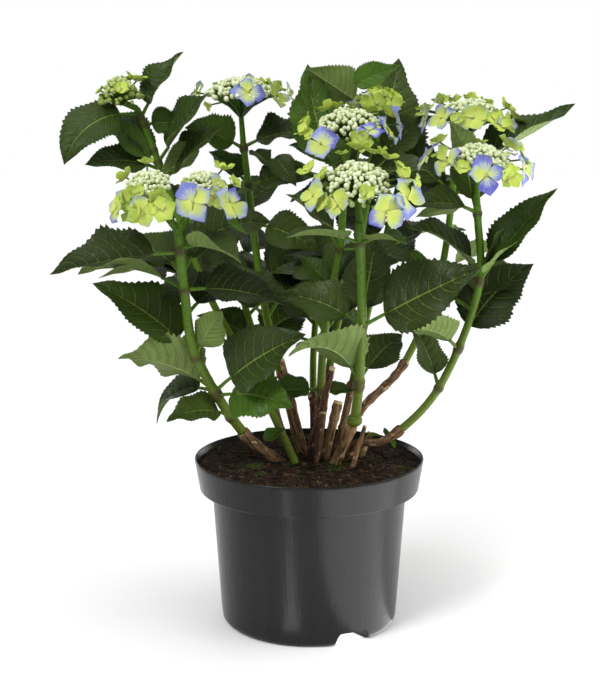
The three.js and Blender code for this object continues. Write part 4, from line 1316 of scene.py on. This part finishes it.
def sepal(pile, middle, side, up, normal, size, angle, raised, kind, random):
    """One broad sepal: its half width is a rounded arch that ends in a blunt point. It is cupped when young,
    bent back when blue, folded a little along its middle and ruffled along its edge."""
    u, v = np.linspace(0, 1, SEPAL_ROWS)[:, None], SEPAL_ACROSS[None]
    below = np.arange(len(SEPAL_ACROSS))[None] >= SEPAL_UNDER
    out = math.cos(angle) * side + math.sin(angle) * up
    across = np.cross(normal, out)
    broad = random.uniform(0.43, 0.56)
    half = size * broad * np.sin(np.pi * u ** 1.25) ** 0.8
    hem = 1 - u ** 8
    far = size * (u - hem * (0.2 * v ** 2 * u ** 2 - 0.05 * np.abs(v) * u))
    cup = (0.42 - 0.5 * kind + random.uniform(-0.22, 0.22)) * size * u ** 1.6 + raised
    crease = random.uniform(-0.05, 0.28) * size * np.abs(v) * u
    turns = random.uniform(5, 10)
    ruffle = 0.15 * size * np.sin(turns * u + 2 * np.sign(v) + random.uniform(0, 6)) * v ** 2 * np.sqrt(u)
    lift = cup + hem * (crease + ruffle) - below * SEPAL_THICK
    points = middle + far[..., None] * out + (v * half)[..., None] * across + lift[..., None] * normal
    place = np.stack(np.broadcast_arrays(u, 0.5 + 0.5 * v), -1)
    under = np.tile(np.arange(len(SEPAL_ACROSS)) >= SEPAL_UNDER - 1, SEPAL_ROWS - 1).astype(int)
    faces = grid_faces(SEPAL_ROWS, len(SEPAL_ACROSS), closed=True)[:, ::-1]
    pile.add(points, faces, place, (kind, random.uniform(), random.uniform(), 1), cell=under)


print("a sepal has", len(grid_faces(SEPAL_ROWS, len(SEPAL_ACROSS), closed=True)), "faces")

# %% [markdown]
# A floret turns its face between its head's axis and the way outwards, by its lean.

# %% Florets
YOUNG_SEPALS, OLD_SEPALS = 5, 4
FRONT_RAISED, BEHIND_LARGER = 0.9, 1.12
EYE_SIZE, EYE_TONE = 1.6, (0.15, 0.9, 0, 0)
RAY_RADII, RAY_TONE = np.array([1.1, 0.9, 0.8]), (0.35, 1, 1, 1)


def floret(kind_name, centre, axis, out, place, spin, random, lean=None, scale=1.0):
    """Four sepals in two crossed pairs round a small eye, the front pair smaller and yellower than the pair
    behind it. The limes are young florets, with five crumpled sepals that still stand up."""
    kind = FLORET[kind_name]
    lean = math.radians(kind["lean"] if lean is None else lean)
    normal = unit(math.cos(lean) * axis + math.sin(lean) * out + random.uniform(-0.12, 0.12, 3))
    side = unit(np.cross(axis, out))
    up = unit(np.cross(normal, side))
    side = np.cross(up, normal)
    young = kind["blue"] == 0
    count = YOUNG_SEPALS if young else OLD_SEPALS
    for i in range(count):
        front = (i + 1) % 2
        angle = math.radians(spin) + i * 2 * math.pi / count + random.uniform(-0.2, 0.2)
        size = scale * kind["radius"] * random.uniform(0.88, 1.08)
        size = size * (1.0 if young or front else BEHIND_LARGER)
        blue = kind["blue"] if young else kind["blue"] + random.uniform(-0.28, 0.28) - 0.12 * front + 0.1
        blue = np.clip(blue, 0, 1.2)
        sepal(sepal_pile, place, side, up, normal, size, angle, FRONT_RAISED * front, blue, random)
    bud_pile.add(BUD * EYE_SIZE * scale + place + normal * 1.1, BUD_FACES, tone=EYE_TONE)
    foot = centre + out * HEAD["ray_foot"] - axis * 4
    ray = np.array([foot, (foot + place) / 2 + axis, place - normal * 0.3])
    closed_tube(stem_pile, ray, RAY_RADII, 6, RAY_TONE)


print("kinds of florets:", list(FLORET))

# %% [markdown]
# A head stands on a neck that reaches from its stem to the hub below the dome. Its florets come from
# the table, or else from the ring of stations of the head at the back.

# %% Grow the heads
# The small head at the left is younger: its dome is a ball and its beads are still green.
DOME_DROP = dict(left_small=1.0, centre_front=0.55, centre_mid=0.5)
RIPE = dict(left_small=0.35)
NECK_ROWS, NECK_SIDES, NECK_RADII = 14, 12, (3.2, 2.6)


def way_out(angle, right, back):
    return math.cos(angle) * right + math.sin(angle) * back


for index, (name, head) in enumerate(HEADS.items()):
    roll_dice, random = dice(HEAD["seed"] + index), np.random.default_rng(60 + index)
    axis, right, back = head_frame(head)
    centre = np.array(head["centre"], float)
    shoot = SHOOTS[head["shoot"]]
    foot = np.array(shoot["forks"][head["fork"]] if "fork" in head else shoot["route"][-1], float)
    hub = centre - axis * HEAD["hub"] * head["dome"]
    t = np.linspace(0, 1, NECK_ROWS)[:, None]
    thick = np.linspace(*NECK_RADII, NECK_ROWS)
    closed_tube(stem_pile, foot + (hub + 3 * axis - foot) * t, thick, NECK_SIDES, (0, 1, 0.5, 1))
    buds(head, random, DOME_DROP.get(name, 0.42), RIPE.get(name, 1.0))
    for turn, away, lifted, kind, *lean_and_scale in FLORETS.get(name, []):
        out = way_out(math.radians(turn), right, back)
        spin = 360 * random.uniform()
        place = centre + out * away + axis * lifted
        floret(kind, centre, axis, out, place, spin, random, *lean_and_scale)
    for i in range(0 if name in FLORETS else HEAD["stations"]):
        angle = (i + HEAD["swing"] * (roll_dice() - 0.5)) * 2 * math.pi / HEAD["stations"]
        lifted = HEAD["rise"][0] + (HEAD["rise"][1] - HEAD["rise"][0]) * roll_dice()
        spin = 90 * roll_dice()
        if head["florets"][i] == ".":
            continue
        out = way_out(angle, right, back)
        place = centre + out * head["ring"] + axis * lifted
        floret(head["florets"][i], centre, axis, out, place, spin, random)
print("buds and eyes:", len(bud_pile.points), "sepals:", len(sepal_pile.points))

# %% [markdown]
# A bud's tones are how far it faces away from the hub, together with its ripeness and luck, and whether it
# stands high on the dome: the face away from the hub gets painted light, its sides and the buds low on the
# dome painted shade. A sepal's are how far its floret has turned blue, and its luck. The blue comes in
# from the tip and the edges, in a fan of streaks, over a lime that is palest at the sepal's foot.

# %% Buds and their material
bud_skin, tree, shader = new_material("buds", roughness=0.55, specular=0.3)
pale, upper, _ = tones(tree)
# Painted light on each bud's outer face; painted shade on its sides and on the buds low on the dome.
skin = mix(tree, pale, colour(158, 178, 74), colour(238, 243, 212))
skin = mix(tree, upper, colour(132, 152, 66), skin)
base, _ = mottled(tree, skin, 200.0, 0.3)
tree.links.new(base, shader.inputs["Base Color"])
bud_pile.make("buds", [bud_skin], "blossom", [f"head_{name}" for name in HEADS])

# %% Sepals and their material
petal, tree, shader = new_material("sepals", roughness=0.55, specular=0.25)
kind, luck, _ = tones(tree)
place = node(tree, "UVMap", uv_map="Place").outputs[0]
along, across, _ = node(tree, "SeparateXYZ", {"Vector": place}).outputs
aside = maths(tree, "ABSOLUTE", times(tree, minus(tree, across, 0.5), 2.0))
outer = plus(tree, along, times(tree, aside, 0.25))
uneven = noise(tree, scaled(tree, place, (1.5, 9, 1)), 2.0, 2.0)
wavy = plus(tree, times(tree, across, 30.0), times(tree, uneven, 3.0))
fan = maths(tree, "ABSOLUTE", maths(tree, "SINE", wavy))
fresh = mix(tree, luck, colour(184, 210, 56), colour(132, 168, 30))
lime = mix(tree, along, colour(210, 218, 104), fresh)
edge_blue = mix(tree, luck, colour(80, 80, 182), colour(134, 144, 210))
reach_in = minus(tree, 1.36, times(tree, kind, 0.9))
ragged = plus(tree, times(tree, fan, -0.4), times(tree, uneven, 0.4))
streaked = plus(tree, outer, ragged)
blue_share = rise(tree, minus(tree, streaked, reach_in), -0.3, 0.32)
between_tones = mix(tree, kind, colour(188, 206, 130), colour(188, 200, 200))
petal_colour = mix(tree, rise(tree, blue_share, 0.0, 0.5), lime, between_tones)
petal_colour = mix(tree, rise(tree, blue_share, 0.3, 1.0), petal_colour, edge_blue)
vein_tone = mix(tree, 0.4, petal_colour, colour(214, 222, 206))
petal_colour = mix(tree, rise(tree, fan, 0.0, 0.45), vein_tone, petal_colour)
base, _ = mottled(tree, petal_colour, 80.0, 0.25)
tree.links.new(base, shader.inputs["Base Color"])
bump(tree, shader, fan, 0.25, 0.0006)
sepal_pile.make("sepals", [petal], "blossom", atlas=True, crisp=True)
stem_pile.make("green_stems", [stem_green], "foliage", [f"cane_{name}" for name in GREEN_CANES])

# %% [markdown]
# ## Floor and light
#
# Product light: a soft sun from the upper left, weaker ones from above, from the right and from behind,
# and a pale room that fills the shadows. Suns light the floor evenly, so it stays plain and pale, and nothing
# competes with the plant. The pot's wall leans outwards, so its gloss mirrors the floor before it, and a
# narrow and a broad panel lie there for their sheen alone. Two more stand behind it and light its edges.
# A broad one at the right fills the shadow on the floor, and a tiny one under the foot shows the pale
# floor in the drainage notch.

# %% Floor
FLOOR_WHITE = 0.93
floor_mesh = bpy.data.meshes.new("floor")
floor_mesh.from_pydata([(-6, -4, 0), (6, -4, 0), (6, 8, 0), (-6, 8, 0)], [], [(0, 1, 2, 3)])
floor = bpy.data.objects.new("floor", floor_mesh)
bpy.context.collection.objects.link(floor)
pale_floor, tree, shader = new_material("pale_floor", roughness=0.7, specular=0.2)
shader.inputs["Base Color"].default_value = (FLOOR_WHITE, FLOOR_WHITE, FLOOR_WHITE, 1)
floor_mesh.materials.append(pale_floor)
floor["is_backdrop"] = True
print("floor, metres:", [round(v, 1) for v in floor.dimensions])

# %% Lamps


def turned_to(data, name, place, aim):
    """A lamp at a place, turned to face its aim."""
    made = bpy.data.objects.new(name, data)
    made.location = place
    way = np.array(aim, float) - np.array(place, float)
    made.rotation_euler = (math.pi / 2 + math.atan2(way[2], math.hypot(way[0], way[1])), 0,
                           math.atan2(way[1], way[0]) - math.pi / 2)
    made.visible_camera = False
    bpy.context.collection.objects.link(made)
    return made


def sun(name, place, strength, spread):
    """A far lamp of the same strength everywhere, whose spread, in degrees, softens its shadows."""
    lamp = bpy.data.lights.new(name, "SUN")
    lamp.energy, lamp.angle = strength, math.radians(spread)
    turned_to(lamp, name, place, (0, 0, 0.3))


def panel(name, place, aim, power, width, height, sheen=True):
    """A lamp of a given width and height, there for its sheen alone or for its light alone."""
    lamp = bpy.data.lights.new(name, "AREA")
    lamp.shape, lamp.energy, lamp.size, lamp.size_y = "RECTANGLE", power, width, height
    made = turned_to(lamp, name, place, aim)
    made.visible_diffuse, made.visible_glossy = not sheen, sheen


sun("key", (-1.2, -1.2, 1.9), 2.0, 26)
sun("top", (-0.1, -0.2, 2.4), 1.0, 50)
sun("fill", (1.6, -1.0, 1.2), 0.5, 40)
sun("rear", (0.3, 1.6, 1.8), 0.4, 40)
panel("strip", (-0.111, -0.302, 0.004), (-0.103, -0.284, 1), 0.1, 0.03, 0.44)
panel("apron", (0.36, -0.22, 0.004), (0.36, -0.20, 1), 2.1, 0.6, 0.6)
panel("left_edge", (-0.55, 0.9, 0.2), (0, 0, 0.1), 1.6, 0.5, 0.5)
panel("side", (1.0, 0.0, 0.3), (0, 0, 0.1), 11.0, 1.3, 0.56, sheen=False)
panel("under_foot", (0.030, -0.054, 0.0112), (0.0295, -0.053, -1), 0.015, 0.03, 0.04, sheen=False)
panel("right_edge", (0.55, 0.9, 0.2), (0, 0, 0.1), 1.6, 0.5, 0.5)
print("lamps:", [lamp.name for lamp in bpy.data.lights])

# %% [markdown]
# The room's light is gentle, so that leaves deep in the plant stay dark, while the backdrop seen by
# the camera is plain white. A Light Path node tells the two apart. The Standard view shows colours
# as they were picked, without the softening of a film curve.

# %% World
ROOM, BACKDROP = 0.25, 1.0
world = bpy.data.worlds.new("pale_room")
world.use_nodes = True
tree = world.node_tree
seen = node(tree, "LightPath").outputs["Is Camera Ray"]
strength = plus(tree, times(tree, seen, BACKDROP - ROOM), ROOM)
background = tree.nodes["Background"]
background.inputs["Color"].default_value = (1, 1, 1, 1)
tree.links.new(strength, background.inputs["Strength"])
bpy.context.scene.world = world
bpy.context.scene.view_settings.view_transform = "Standard"
print("room light:", ROOM, "backdrop:", BACKDROP)

# %% Finish
low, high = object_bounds()
print("box now:", [round(v, 3) for v in (*low, *high)])
